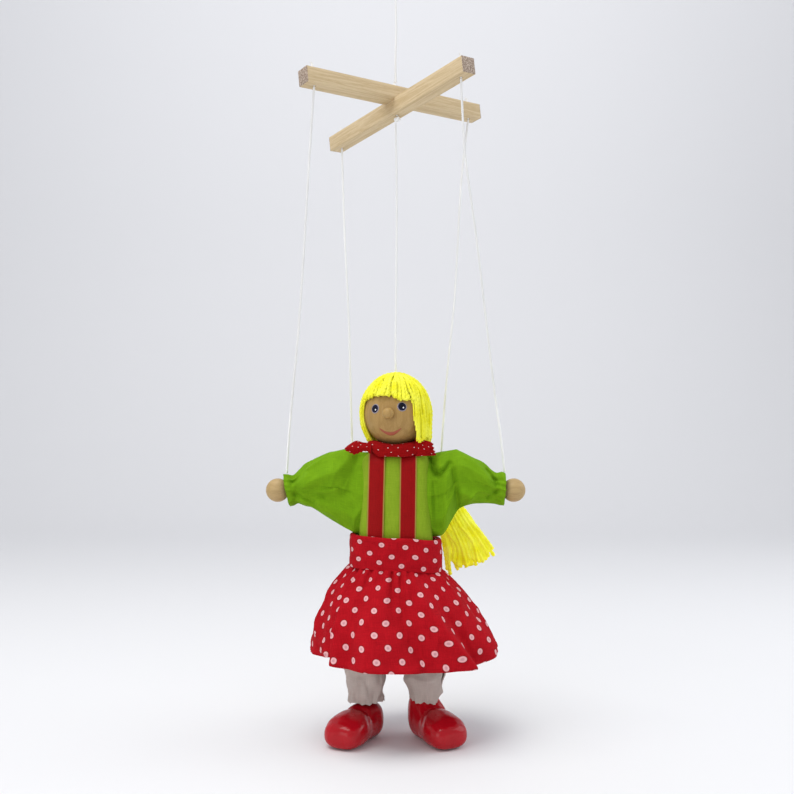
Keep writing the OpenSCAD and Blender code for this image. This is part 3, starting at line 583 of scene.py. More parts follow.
def smile_point(u, v):
    """A point of the brushed line: broad in its middle, and bent up at its ends."""
    side = min(1, abs(2 * u - 1))
    width = 0.0006 + 0.0017 * (1 - side * side) ** 0.7
    up = -38 + 11.2 * side * side + degrees((0.5 - v) * width / head_r)
    return on_head(2.6 + 22 * (2 * u - 1), up, head_r + 0.00002)[0]


smile = sheet_of("smile", 48, 4, smile_point)[0]
thicken(smile, 0.00006, 1)
bpy.ops.object.shade_smooth()
smile.data.materials.append(finish("mouth_paint", (0.37, 0.085, 0.04), 0.5)[0])
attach(smile, "head")

# ---- Hair ----
# Thick yellow acrylic yarn, glued on over a cap of the same yarn. It is combed from the
# crown: cut short over the face, long at the sides, and drawn to a tie at the back.
dyed, ins, out = group("yarn_dye", "Vector", "Color Height")
fluff = cloud(dyed, ins["Vector"], 1900, 4)
tone = calc(dyed, "MULTIPLY_ADD", fluff, 0.55, cloud(dyed, ins["Vector"], 160, 1))
yellows = mix(dyed, span(dyed, tone, 0.55, 1), (0.92, 0.87, 0.006), (1, 1, 0.09))
feed(dyed, out, {"Color": yellows, "Height": fluff})


def yellow(name, glow):
    """Yellow yarn that gives out a little light of its own, as much as glow: painted light that
    stands in for light it doesn't get.
    """
    material, tree, shader = finish(
        name, (0.95, 0.93, 0.03), 0.9, Sheen_Weight=0.3, Sheen_Roughness=0.4,
        Sheen_Tint=(1, 1, 0.45), Specular_IOR_Level=0.2, Emission_Strength=glow,
    )
    place = add(tree, "TexCoord").outputs["Object"]
    look = add(tree, "Group", {"Vector": place}, node_tree=dyed).outputs
    cover(tree, shader, look["Color"], look["Height"], 0.5, 0.0003)
    # Painted light: the yarn's own colour is given out as light.
    feed(tree, shader, {"Emission Color": look["Color"]})
    return material


# Painted light: the hair glows faintly, and the ponytail, which lies in shade behind the arm, glows
# most so that it looks lit.
yellow_yarn = yellow("yellow_yarn", 0.03)
tail_yarn = yellow("tail_yarn", 0.2)

face_left, face_right = radians(49), radians(-61)
hair_fall = 0.0146
crown_t = 0.003


def read(table, at):
    """The values of a table at a place between its rows, on a smooth curve."""
    keys = [row[0] for row in table]
    at = min(max(at, keys[0]), keys[-1])
    i = min(bisect(keys, at), len(keys) - 1) - 1
    a, b = table[i], table[i + 1]
    before, after = table[max(i - 1, 0)], table[min(i + 2, len(keys) - 1)]
    gap = b[0] - a[0]
    t = (at - a[0]) / gap
    made = []
    for c in range(1, len(a)):
        rise_a = (b[c] - before[c]) / (b[0] - before[0]) * gap
        rise_b = (after[c] - a[c]) / (after[0] - a[0]) * gap
        made.append(
            (2 * t ** 3 - 3 * t * t + 1) * a[c] + (t ** 3 - 2 * t * t + t) * rise_a
            + (3 * t * t - 2 * t ** 3) * b[c] + (t ** 3 - t * t) * rise_b
        )
    return made


# Lower edge of the fringe over the head's middle, in millimetres, from the doll's right to
# its left in degrees from the middle of the face
fringe_edge = [
    (-61, 7.2), (-45, 8.2), (-22, 9.6), (-8, 9.8), (6, 8.6), (18, 7.9), (30, 7.2), (49, 6),
]


def hair_out(a, z, r):
    """Radius of the hair: round above the head's middle, and nearly straight below it, but
    for the doll's right cheek, where the yarn lies close to the face."""
    if z > 0:
        return r * sqrt(max(1 - (z / (r + crown_t)) ** 2, 0))
    close = exp(-((a + radians(75)) / 0.75) ** 2)
    return r * (1 - (0.03 + 0.42 * close) * (z / r) ** 2)


def round_head(a, out, high):
    """A point of the hair: a is its angle from the middle of the face."""
    a += face_turn
    return head_middle + Vector((out * sin(a), -out * cos(a), high))


bpy.ops.mesh.primitive_uv_sphere_add(segments=288, ring_count=72, radius=1)
cap = bpy.context.object
cap.name = "hair_base"
cap_r = 0.0178
for point in cap.data.vertices:
    a = atan2(point.co.x, -point.co.y)
    high = point.co.z * (cap_r + crown_t if point.co.z > 0 else hair_fall)
    r = hair_out(a, high, cap_r) if hypot(point.co.x, point.co.y) > 1e-6 else 0
    point.co = round_head(a, r * (1 + 0.022 * cos(48 * a)), high)


def cut_away(piece, chosen):
    """Takes out the faces that a test chooses by their middles."""
    only(piece)
    bpy.ops.object.mode_set(mode="EDIT")
    bpy.ops.mesh.select_all(action="DESELECT")
    bpy.ops.object.mode_set(mode="OBJECT")
    for face in piece.data.polygons:
        face.select = chosen(face.center)
    bpy.ops.object.mode_set(mode="EDIT")
    bpy.ops.mesh.select_mode(type="FACE")
    bpy.ops.mesh.delete(type="FACE")
    bpy.ops.object.mode_set(mode="OBJECT")


def is_open(middle):
    """The base is open over the face, down the left cheek, and at the neck."""
    x, y, z = middle - head_middle
    a = atan2(x, -y) - face_turn
    left_edge = face_left - 0.05 + max(0, -z) * 9
    return face_right + 0.05 < a < left_edge and z < 0.0122 or z < -hair_fall * 0.985


cut_away(cap, is_open)
thicken(cap, 0.0006)
bpy.ops.object.shade_smooth()

# The tie sits behind the head; the strands of the back all run to it
tie = Vector((2.8, 22.3, -254)) / 1000
tie_round, tie_polar = atan2(tie.x, -tie.y) - face_turn, radians(108)
combed = Random(7)
hair_lines = []


def strand(a, begins, r, fall):
    """One strand from the crown down, a round from the middle of the face."""
    line = []
    step = 0.0005 / r
    drift, wave = combed.uniform(-0.05, 0.05), combed.uniform(0, 50)
    for i in range(260):
        polar = begins + i * step
        z = (r + crown_t) * cos(polar) if polar < pi / 2 else -(polar - pi / 2) * r
        if z < fall:
            break
        loose = noise.noise(Vector((wave, i * 0.05, 0))) * 0.0007
        out = hair_out(a, z, r) + loose - 0.0008 * exp(-i / 5)
        swing = a + drift * polar + noise.noise(Vector((wave, i * 0.055, 7))) * 0.075
        if a > face_left:
            swing += 0.14 * exp(-((a - face_left) / 0.3) ** 2) * max(0, -z / hair_fall)
        line.append(round_head(swing, out, z))
    return line


# Rows of strands, each set between those above it: count, first one's share of a step, and
# how far from the crown they begin. At the back they turn to the tie once they are combed.
combed_from = radians(52)
for count, offset, begins in ((9, 0, 3), (9, 0.5, 11), (18, 0.5, 21), (36, 0.5, 38)):
    for k in range(count):
        a = 2 * pi * (k + offset + combed.uniform(-0.1, 0.1)) / count
        a = (a + pi) % (2 * pi) - pi
        start = radians(begins + combed.uniform(-2, 2))
        r = 0.01855 + combed.uniform(-0.0002, 0.0002)
        if abs(a) > radians(124):
            goal = tie_round if a > 0 else tie_round - 2 * pi
            line = []
            for i in range(64):
                polar = start + (tie_polar - start) * i / 63
                share = max(0, (polar - combed_from) / (tie_polar - combed_from))
                swing = a + (goal - a) * share * share * (3 - 2 * share) * 0.97
                high = cos(polar) * (r + crown_t if polar < pi / 2 else r)
                out = r * sin(polar) - 0.0008 * exp(-i / 5) + 0.0024 * share ** 3
                line.append(round_head(swing, out, high))
        elif face_right < a < face_left:
            fall = read(fringe_edge, degrees(a))[0] / 1000 + combed.uniform(-0.0007, 0.0007)
            line = strand(a, start, r, fall)
        else:
            line = strand(a, start, r, -hair_fall + combed.uniform(-0.0012, 0.0022))
        hair_lines.append(line)
# A second, shorter layer fills the fringe from below
for k in range(22):
    a = face_right + (face_left - face_right) * (k + 0.5 + combed.uniform(-0.2, 0.2)) / 22
    fall = read(fringe_edge, degrees(a))[0] / 1000 + combed.uniform(-0.0009, 0.0005)
    hair_lines.append(strand(a, radians(40), 0.0175, fall))
hair = yarn("hair", hair_lines, 0.0019, 2, 0.28, 0.0046, sides=8, tuft=0.22)
for piece in (cap, hair):
    dress(piece, yellow_yarn, "hair_cap", "head")

# Four turns of yarn hold the ponytail, which falls to the doll's left behind the arm.
# Places of its middle, half widths and half depths, in millimetres from the loop.
tail_rings = [
    (3.4, 25.2, -256.7, 2.2, 1.8), (6, 26.5, -264.5, 3.4, 2.8), (12, 28, -274.5, 4.6, 3.4),
    (19, 29, -284.5, 5.6, 3.6), (26, 29.3, -295.5, 7.2, 3.8), (33, 29.3, -308.5, 9.6, 4),
    (38.5, 29, -319.5, 12, 4.2), (42, 28.6, -330, 14.4, 3.8),
]
tie_turn = spun(12) @ spun(60, "X")
coil = []
for k in range(241):
    a = 2 * pi * 4 * k / 240
    turned = tie_turn @ Vector((0.0033 * cos(a), 0.0033 * sin(a), -0.0019 + 0.0038 * k / 240))
    coil.append(tie + turned)
band = yarn("hair_band", [coil], 0.0013, 2, 0.28, 0.003, sides=8)
dress(band, yellow_yarn, "hair_tie", "head")

tail_lines = []
count = 52
golden_angle = 2.39996
for k in range(count):
    spread = sqrt((k + 0.5) / count)
    u, v = spread * cos(k * golden_angle), spread * sin(k * golden_angle)
    route = [list(tie * 1000 + Vector((u * 1.6, -1.5 + 0.6 * v, 2.4 + v * 1.2)))]
    for i, (x, y, z, wide, deep) in enumerate(tail_rings):
        above, below = tail_rings[max(i - 1, 0)], tail_rings[min(i + 1, len(tail_rings) - 1)]
        way = Vector((below[0] - above[0], 0, below[2] - above[2])).normalized()
        off = u * wide + noise.noise(Vector((k * 3.1, i * 0.9, 0))) * 0.2 * wide
        route.append([x - way.z * off, y + v * deep, z + way.x * off])
    longer = combed.uniform(-4, 3.5)
    x, y, z = route[-1]
    route[-1] = [x + way.x * longer, y, z + way.z * longer]
    tail_lines.append(along(route, 0.0006))
tail = yarn("ponytail_yarn", tail_lines, 0.0022, 2, 0.22, 0.0052, sides=8, tuft=0.15)
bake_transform(tail)
dress(tail, tail_yarn, "ponytail")
for node in ("neck_cord", "neck_knot"):
    painted_node(node, cotton_string)

# ---- Shirt ----
# A plain green cotton body, sewn as a tube, tucked into the waistband below and gathered
# round the neck under the scarf. The ribbons and the sleeves are sewn to it.


def level(h):
    """A height over the soles, in millimetres, in the frame of the part."""
    return h / 1000 + sole_z


def over_soles(x, y, h):
    """A point given in millimetres, with its height over the soles."""
    return Vector((x / 1000, y / 1000, level(h)))


@lru_cache(maxsize=None)
def oval(wide, deep, square, count=720):
    """Places round a flattened oval, evenly spaced: square is 1 for an ellipse, less for a box."""
    rough = []
    for k in range(count + 1):
        c, s = cos(2 * pi * k / count), sin(2 * pi * k / count)
        x, y = abs(c) ** square * wide, abs(s) ** square * deep
        rough.append((x if c > 0 else -x, y if s > 0 else -y))
    run = [0]
    for a, b in zip(rough, rough[1:]):
        run.append(run[-1] + hypot(b[0] - a[0], b[1] - a[1]))

    def place(share):
        want = (share % 1) * run[-1]
        low = min(bisect(run, want), count) - 1
        t = (want - run[low]) / (run[low + 1] - run[low])
        return [a * (1 - t) + b * t for a, b in zip(rough[low], rough[low + 1])]
    return place


def cloth_grid(name, across, down, point, size, thickness, merge=0, angle=70, inward=-1):
    """A woven sheet: size is how far its UV map goes across and down in millimetres, which
    the weave follows, and merge how near the points of a closed one's seam are in metres."""
    piece, shares = sheet_of(name, across, down, point)
    map_ = piece.data.uv_layers.active.data
    for corner in piece.data.loops:
        u, v = shares[corner.vertex_index]
        map_[corner.index].uv = (u * size[0], -v * size[1])
    with editing(piece):
        if merge:
            bpy.ops.mesh.remove_doubles(threshold=merge)
        bpy.ops.mesh.normals_make_consistent(inside=False)
    if thickness:
        thicken(piece, thickness / 1000, inward)
    bpy.ops.object.shade_smooth_by_angle(angle=radians(angle))
    return piece


weave, ins, out = group("plain_weave", "Vector Thread", "Height Tone")
threads = scaled(weave, ins["Vector"], calc(weave, "DIVIDE", pi, ins["Thread"]))
split = add(weave, "SeparateXYZ", {"Vector": threads}).outputs
warp, weft = (calc(weave, "SINE", split[axis]) for axis in "XY")
high = span(weave, calc(weave, "MULTIPLY", warp, weft), -1, 1)
slubs = [
    cloud(weave, mapped(weave, ins["Vector"], Scale=stretch), 1.4, 2)
    for stretch in ((0.12, 1.8, 1), (1.8, 0.12, 1))
]
cloudy = cloud(weave, ins["Vector"], 0.11, 3)
tone_and_shade = calc(weave, "MULTIPLY_ADD", cloudy, 0.8, calc(weave, "ADD", *slubs))
# The tone is uneven cloth and slubs, plus painted shade: lighter where the threads lie high, darker
# between them.
tone_and_shade = calc(weave, "MULTIPLY_ADD", high, 0.22, tone_and_shade)
feed(weave, out, {"Height": high, "Tone": span(weave, tone_and_shade, 1, 2)})


def cotton(name, dark, light, thread=0.42, sheen=0.04, roughness=0.9):
    """Woven cotton whose tone changes with its threads, with painted shade between them; returns
    what paints it, too.
    """
    material, tree, shader = finish(
        name, light, roughness, Sheen_Weight=sheen, Sheen_Roughness=0.45, Sheen_Tint=light,
        Specular_IOR_Level=0.12,
    )
    map_ = add(tree, "UVMap", uv_map="UVMap").outputs["UV"]
    look = add(tree, "Group", {"Vector": map_, "Thread": thread}, node_tree=weave).outputs
    dye = mix(tree, look["Tone"], dark, light)
    cover(tree, shader, dye, look["Height"], 0.35, 0.00015)
    return material, tree, shader, dye, map_


green_cotton = cotton("green_cotton", (0.115, 0.26, 0.003), (0.2, 0.4, 0.008))[0]
body_cotton = cotton("green_body_cotton", (0.2, 0.33, 0.012), (0.28, 0.42, 0.025), 0.3)[0]

shirt_wide, shirt_deep, shirt_square = 19, 12.5, 0.6
shirt_low, shirt_high = 100, 151.2
shirt_rings = [
    (100, 1.03, 1), (103, 1.03, 1), (113.1, 1.02, 1.02), (128.1, 1, 1), (137.9, 0.98, 0.95),
    (144, 0.96, 0.88), (146.5, 0.93, 0.82), (148.3, 0.88, 0.74), (151.2, 0.74, 0.58),
]


def soft_fold(a, b, c, size):
    """Uneven cloth: a slow noise of three places, times a size."""
    return noise.noise(Vector((a, b, c))) * size


def sharp_fold(a, b, c, size):
    """Creased cloth: thin ridges that wander between slower rises, times a size."""
    return max(0, 1 - 3.2 * abs(noise.noise(Vector((a, b, c))))) ** 2 * size


def shirt_point(u, v):
    """The body's outline, narrowed to the neck, with slack between its seams."""
    h = shirt_low + (shirt_high - shirt_low) * (1 - v)
    wide, deep = read(shirt_rings, h)
    x, y = oval(shirt_wide * wide, shirt_deep * deep, shirt_square)(u)
    puff = soft_fold(x * 0.16, h * 0.035, y * 0.2, 0.5)
    puff += soft_fold(x * 0.5, h * 0.05, 4, 0.25) * (1 - v) * v * 3
    way = Vector((x / shirt_wide ** 2, y / shirt_deep ** 2, 0)).normalized()
    return over_soles(x, y, h) + way * puff / 1000


shirt = cloth_grid("shirt_body", 120, 64, shirt_point, (104, 51), 0.6, merge=1e-6)
dress(shirt, body_cotton, "shirt", "torso")

# ---- Ribbons ----
# Two dark red satin ribbons run from the waistband over the shoulders and down the back.
# Each is woven with a thin tan edge, and lies flat on the shirt.
ribbon_wide = 8.8


def shirt_side(x, h):
    """Half depth of the shirt at a place across it."""
    wide, deep = read(shirt_rings, min(h, shirt_high))
    share = min(abs(x) / (shirt_wide * wide), 0.999)
    return shirt_deep * deep * (1 - share ** (2 / shirt_square)) ** (shirt_square / 2)


def ribbon_point(low_x, high_x):
    """A ribbon from the waistband, up the front, over the shoulder and down the back."""
    front, over_top = 48, 14
    whole = 2 * front + over_top

    def place(u, v):
        run = v * whole
        across = (u - 0.5) * ribbon_wide
        if run < front or run > front + over_top:
            rise = min(run, whole - run)
            h = shirt_low + 3.4 + rise
            x = low_x + (high_x - low_x) * rise / front + across
            side = -1 if run < front else 1
            bow = 0.12 * cos(pi * (u - 0.5) * 2) + soft_fold(x * 0.1, h * 0.07, side * 5, 0.25)
            clear = 0.55 if h < 108 else 0.55 + 0.15 * exp(-abs(h - 146) / 3)
            return over_soles(x, side * (shirt_side(x, h) + clear + bow), h)
        a = pi * (run - front) / over_top
        reach = shirt_side(high_x + across, shirt_high) + 0.62
        return over_soles(high_x + across, -reach * cos(a), shirt_high + 0.2 + 0.5 * sin(a))
    return place


ribbon, tree, shader, dye, map_ = cotton(
    "red_ribbon", (0.24, 0.0006, 0.0015), (0.34, 0.002, 0.003), 0.3, 0.02, 0.6
)
across = add(tree, "SeparateXYZ", {"Vector": map_}).outputs["X"]
from_middle = calc(tree, "ABSOLUTE", calc(tree, "SUBTRACT", across, ribbon_wide / 2))
edge = span(tree, from_middle, ribbon_wide / 2 - 0.75, ribbon_wide / 2 - 0.55)
feed(tree, shader, {"Base Color": mix(tree, edge, dye, (0.35, 0.23, 0.05))})
for node, low_x, high_x in (("right_strap", -10.8, -9.7), ("left_strap", 6.1, 6.7)):
    shape = ribbon_point(low_x, high_x)
    strap = cloth_grid(node + "_ribbon", 12, 150, shape, (ribbon_wide, 110), 0.3, inward=0)
    dress(strap, ribbon, node, "torso")

# ---- Scarf ----
# A small square of red cotton with tiny white dots, rolled round the neck. Its two ends,
# cut with pinking shears, stand out to the sides over the shoulders.
dots, ins, out = group("printed_dots", "Vector Spacing Radius Uneven", "Dot Middle Rim")
place = scaled(dots, ins["Vector"], calc(dots, "DIVIDE", 1, ins["Spacing"]))
sockets = {"Vector": place, "Scale": 1, "Randomness": ins["Uneven"]}
cells = add(dots, "TexVoronoi", sockets, voronoi_dimensions="2D").outputs
away = calc(dots, "MULTIPLY", cells["Distance"], ins["Spacing"])
away = calc(dots, "DIVIDE", away, ins["Radius"])
feed(dots, out, {
    "Dot": span(dots, away, 1.08, 0.9), "Middle": span(dots, away, 0.62, 0.3),
    "Rim": span(dots, away, 1.4, 1.12, 0, 0.55),
})


def printed(name, dark, light, spacing, radius, uneven, turn, dot, core, thread, sheen=0.03):
    """Cotton printed with dots, set out on its UV map."""
    material, tree, shader, dye, map_ = cotton(name, dark, light, thread, sheen)
    turned = mapped(tree, map_, Rotation=(0, 0, radians(turn)))
    sockets = {"Vector": turned, "Spacing": spacing, "Radius": radius, "Uneven": uneven}
    look = add(tree, "Group", sockets, node_tree=dots).outputs
    edged = mix(tree, look["Rim"], dye, [c * 0.35 for c in dark])
    ink = mix(tree, look["Middle"], dot, core)
    feed(tree, shader, {"Base Color": mix(tree, look["Dot"], edged, ink)})
    return material


pale_dot = (0.75, 0.5, 0.48)
scarf_cotton = printed(
    "scarf_cotton", (0.2, 0.0006, 0.0015), (0.36, 0.003, 0.004), 3.7, 0.26, 0.5, 45, pale_dot,
    pale_dot, 0.4,
)

# Sections of the roll from the head round its outside and back underneath: distance from
# the middle and height. In front it hangs over the shirt, elsewhere it lies on top.
roll_front = [
    (7, 155), (9.6, 156.4), (11.6, 156.7), (13.3, 155.6), (14, 153.2), (13.9, 150.9), (13.1, 149),
    (11.9, 148.5), (10.9, 149.4), (10.5, 151.2), (10, 152.8), (7, 152.9),
]
roll_side = [
    (7, 155), (9.6, 156.5), (11.8, 157), (13.8, 156.7), (15.3, 155.5), (15.9, 154.2), (15.6, 153.3),
    (14.6, 152.9), (12.8, 152.8), (11.2, 152.8), (9.6, 152.8), (7, 152.9),
]
rolled_front, rolled_side = (
    [(k, *p) for k, p in enumerate(roll + roll[:1])] for roll in (roll_front, roll_side)
)


def scarf_point(u, v):
    a = 2 * pi * u
    front = min(1, max(0, (-sin(a) - 0.42) / 0.4))
    front = front * front * (3 - 2 * front)
    at = (v % 1) * len(roll_front)
    rho_front, h_front = read(rolled_front, at)
    rho, h = read(rolled_side, at)
    if sin(a) > 0:
        rho = 7 + (rho - 7) * (1 - 0.28 * sin(a))
    rho += (rho_front - rho) * front
    h += (h_front - h) * front
    boxy = (abs(cos(a)) ** 2.6 + abs(sin(a)) ** 2.6) ** (-1 / 2.6)
    outside = sin(pi * v / 0.75) if v < 0.75 else 0
    crease = soft_fold(a * 1.3 + 0.4 * v, v * 5, 1, 1.0)
    crease += 0.3 * sin(16 * v + 2.2 * sin(a) + 1.3 * sin(3 * a))
    rho += (crease * 0.8 + sharp_fold(a * 1.1 + v, v * 4, 6, 0.7)) * outside * 0.6
    dip = 1.6 * exp(-((rho * boxy * cos(a)) / 7.5) ** 2) * front
    h -= dip * max(0, (h - 150) / 6.7)
    h += soft_fold(a * 1.6, 3, v * 2, 0.7) * outside
    return over_soles(rho * boxy * cos(a), rho * boxy * sin(a), h)


scarf_ring = cloth_grid("scarf_roll", 128, 40, scarf_point, (66, 27), 0, merge=1e-6, angle=180)
dress(scarf_ring, scarf_cotton, "scarf", "torso")


def pinked(share, teeth, deep):
    """Zigzag of a pinked edge."""
    t = (share * teeth) % 1
    return deep * (1 - abs(2 * t - 1))


def right_end(u, v):
    """The leaf that hangs over the doll's right shoulder: narrow, folded and curled."""
    x = -12.8 - 13.8 * u
    top = read([(0, 156), (0.3, 156), (0.55, 156.9), (0.78, 155.3), (1, 152.9)], u)[0]
    low = read([(0, 150.4), (0.2, 151.9), (0.45, 151), (0.62, 150.1), (0.8, 151), (1, 152.3)], u)[0]
    h = top + (low - 0.5 * pinked(u, 7, 1) * v - top) * v
    y = -9.6 - 1.6 * sin(pi * u) - 1.4 * sin(pi * v) * (1 - u) + 1.1 * u + 0.6 * sin(5 * v + 3 * u)
    return over_soles(x, y, h)


def left_end(u, v):
    """The broad end in front of the doll's left shoulder, with its zigzag cut outwards."""
    x = 10.4 + (8 + 1.1 * pinked(v, 4, 1)) * u + 2 * v * u
    top, low = 158.3 - 2.1 * u, 148.8 + 0.5 * u
    h = top + (low - top) * v - 0.5 * u * sin(3 * v)
    y = -10.4 - 1.9 * sin(pi * min(1, v * 1.1)) * (1 - 0.4 * u) + 1.2 * u + 0.8 * sin(6 * u + 2 * v)
    y += sharp_fold(0.5 * u + 2 * v, 3 * u, 2, 0.6) * u
    return over_soles(x, y, h)


for name, shape in (("scarf_end_right", right_end), ("scarf_end_left", left_end)):
    end = cloth_grid(name, 42, 28, shape, (12.5, 9), 0.45, inward=0)
    dress(end, scarf_cotton, "scarf", "torso")

# ---- Sleeves ----
# Full green sleeves, sewn to the body at the armholes and drawn in by thread before the
# cuff, whose edge flares over the hand.
# Rings from the armhole to the cuff: place out from the middle, height of the ring's own
# middle, half height and half depth. Folds: both ends (out, height), width and height.
right_rings = [
    (14, 129, 21.8, 9.2), (20.3, 129, 21.8, 9.4), (27, 131.4, 20.6, 10), (37, 133, 17, 10),
    (45.4, 133, 12.4, 9.4), (50, 131.4, 10, 8.6), (53.2, 130.6, 7.8, 7.2), (55.8, 130.3, 8.5, 8),
    (57.8, 130.2, 8.7, 8.3),
]
left_rings = [
    (14, 128.5, 22, 9.2), (20.3, 128, 22.2, 9.6), (25, 129.3, 22.4, 10), (29.4, 133.3, 19, 10),
    (33.4, 136.3, 15.6, 10), (39.5, 135.8, 13.1, 9.8), (46, 134.2, 10.9, 9.2),
    (50, 132.6, 9.2, 8.6), (53, 131.6, 8.4, 7.6), (55.6, 131.3, 8.9, 8.2), (57.8, 131, 8.7, 8.5),
]
right_folds = [
    (20, 147, 27, 130, 3, -1.3), (30, 142, 46, 133, 3, 1.1), (44, 125, 53, 128.5, 1.2, -1.1),
    (46, 141, 54, 134, 1.2, -1.1), (22, 117, 40, 123, 3, 1), (38, 128, 52, 131, 1.5, -0.9),
]
left_folds = [
    (18, 147, 21.4, 139.6, 1.5, -2.6), (23.4, 139.2, 28.5, 144.8, 1.5, -2.2),
    (23, 150, 23.4, 143.5, 2.8, 1.8), (26, 138.5, 26.5, 111, 2.4, 1.7),
    (30, 141.5, 33, 121, 1.7, -1.9), (36, 129, 44, 124.5, 2.2, 1.3),
    (48, 141.5, 53.5, 134, 1, -1.2), (49, 127, 54, 131, 1, -1.1), (38, 148, 49, 138, 2, 0.9),
    (20.6, 134, 21.5, 112, 2, -1.2),
]
sleeve_from = 16.4


def sleeve_point(side, slant, rings, folds):
    """A sleeve whose folds show in front; slant is how far its cuff leans."""
    end = rings[-1][0]

    def place(u, v):
        a = 2 * pi * u
        x = sleeve_from + (end - sleeve_from) * v
        middle, tall, deep = read(rings, x)
        to_cuff = max(0, (x - 34) / 25.6)
        crowd = exp(-((x - end + 5) / 2.6) ** 2)
        ruffle = 0.6 * cos(13 * a + 1.2 * sin(2 * a)) * (crowd + max(0, (x - end + 4.6) / 6))
        ruffle *= 0.6 + 0.4 * sin(3 * a + side)
        long_fold = 0.6 * cos(5 * a + 0.1 * x + side) * min(1, to_cuff * 1.6)
        slack = soft_fold(cos(a) * 1.4 + side, sin(a) * 1.4, x * 0.09, 1.3)
        creased = sharp_fold(x * 0.06 + a * 0.5, a * 0.9 - x * 0.02, side * 3, 1.5) * (1 - crowd)
        grow = (ruffle + long_fold + slack + creased - 0.8) * min(1, v * 7)
        z = (tall + 0.5 * grow) * sin(a)
        y = -(deep + grow) * cos(a)
        for x0, h0, x1, h1, width, height in folds if y < 0 else ():
            run, rise = x1 - x0, h1 - h0
            t = ((x - x0) * run + (z + middle - h0) * rise) / (run * run + rise * rise)
            t = min(1, max(0, t))
            off = hypot(x - x0 - t * run, z + middle - h0 - t * rise)
            y -= 1.5 * height * exp(-(off / width) ** 2) * min(1, -y / 4)
        x += slant * (z / 10) * 2.2 * min(1, to_cuff)
        # The first 3 mm are drawn to the side of the shirt
        share = v * (end - sleeve_from) / 3
        if share < 1 and middle + z < shirt_high:
            wide, d = read(shirt_rings, max(middle + z, shirt_low))
            reach = min(abs(y) / (shirt_deep * d), 0.999)
            against = (1 - reach ** (2 / shirt_square)) ** (shirt_square / 2)
            against = min(max(shirt_wide * wide * against - 0.5, 12), 18.6)
            x = against * (1 - share) + (sleeve_from + 3) * share
        return over_soles(side * x, y, middle + z)
    return place


for side, name, shape in (
    (-1, "right", sleeve_point(-1, 1, right_rings, right_folds)),
    (1, "left", sleeve_point(1, 0.25, left_rings, left_folds)),
):
    sleeve = cloth_grid(name + "_sleeve_cloth", 128, 104, shape, (98, 56), 0.5, merge=1e-6)
    start, end = (side * 0.015, 0, level(142)), (side * 0.03, 0, level(140))
    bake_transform(sleeve)
    dress(sleeve, green_cotton, name + "_sleeve")

# ---- Frame under the clothes ----
# A plain block for chest and hips, dowels for arms and legs, and steel-pinned hinges, all
# of unvarnished wood. The hands are small turned balls on the arm dowels.
for side in ("right", "left"):
    painted_node(side + "_hand", hand_wood)
    for node in ("_arm_dowel", "_thigh", "_shin", "_shoulder_pin", "_hip_pin", "_knee_pin"):
        painted_node(side + node, bare_wood)
painted_node("torso_block", bare_wood)

# ---- Waistband ----
# A straight band of the skirt's dotted cotton, folded over at its upper edge, with the
# skirt sewn into its lower edge.
dotted_cotton = printed(
    "dotted_cotton", (0.31, 0.001, 0.006), (0.5, 0.006, 0.014), 8.2, 1.45, 0.13, 50,
    (0.8, 0.42, 0.43), (0.58, 0.3, 0.32), 0.36, sheen=0,
)
band_wide, band_deep, band_square = 24.5, 17, 0.8
band_side = [
    (0, 0, 90), (0.12, 0, 92.5), (0.3, 0, 96), (0.55, 0, 101), (0.72, 0, 104.4), (0.8, 0.03, 105.9),
    (0.85, 0.16, 106.8), (0.9, 0.45, 107), (0.96, 0.85, 106.4), (1, 0.97, 104),
]
outer_band = oval(band_wide, band_deep, band_square)
inner_band = oval(shirt_wide * 1.03 + 0.8, shirt_deep * 1.02 + 1.1, shirt_square + 0.1)


def band_point(u, v):
    tuck, h = read(band_side, 1 - v)
    x, y = outer_band(u)
    a, b = inner_band(u)
    tuck = min(max(tuck, 0), 1)
    flat = max(1 - abs(h - 98) / 9, 0) if tuck <= 0 else 0
    puff = soft_fold(x * 0.12, y * 0.12, h * 0.12, 0.9) * flat
    puff += soft_fold(x * 0.5, y * 0.5, h * 0.05, 0.3)
    puff += sharp_fold(x * 0.05 + h * 0.02, y * 0.05, h * 0.09, 0.5) * flat
    grow = 1 + puff / hypot(x, y)
    x, y = x * grow, y * grow
    h += soft_fold(x * 0.07, y * 0.07, 3, 0.8) - 0.06 * x - 0.6
    return over_soles(x + (a - x) * tuck, y + (b - y) * tuck, h)


waist = cloth_grid("waistband_cloth", 150, 44, band_point, (134, 24), 0.6, merge=1e-6)
dress(waist, dotted_cotton, "waistband", "torso")

# ---- Skirt ----
# One long strip of dotted cotton, gathered into the waistband and wrapped round so that
# its edges overlap in front of the doll's right leg. The hem is turned up and stitched.
skirt_spread = [
    (0, 24.2, 16.6), (0.04, 26, 18.2), (0.11, 29, 21), (0.3, 36, 28), (0.43, 39.6, 31.6),
    (0.56, 43, 35), (0.66, 45.2, 37.4), (0.85, 47.6, 40.6), (1, 48.6, 42),
]
skirt_hem = [
    (215, 44.8), (245, 43.2), (270, 42.6), (300, 42.4), (325, 43), (350, 45.6), (366, 46.6),
    (400, 45.2), (450, 44), (520, 43.8), (545, 44.6), (565, 45.8), (580, 47.2), (600, 48.4),
]
skirt_from, skirt_to = 224, 599
# Ridges and valleys: place round the hem, width, height, and how far they lean on the way down
skirt_ridges = [
    (226, 4, 1.2, -3), (235, 4, -1.4, -6), (250, 10, 5, -8), (268, 6, 0.9, 2), (287, 9, -6.4, 26),
    (312, 5.5, 6, 28), (325, 6, -3.4, 24), (341, 8, 2.8, 12), (361, 7, 2.2, 4), (383, 11, 3.4, 0),
    (408, 9, 2.8, 3), (429, 10, 3.4, -4), (452, 9, 3, 4), (474, 10, 3.5, 0), (497, 9, 2.4, -4),
    (518, 9, 1.2, 3), (542, 9, 0.2, 0), (560, 6, -1, -3), (575, 6, 1, 2),
]


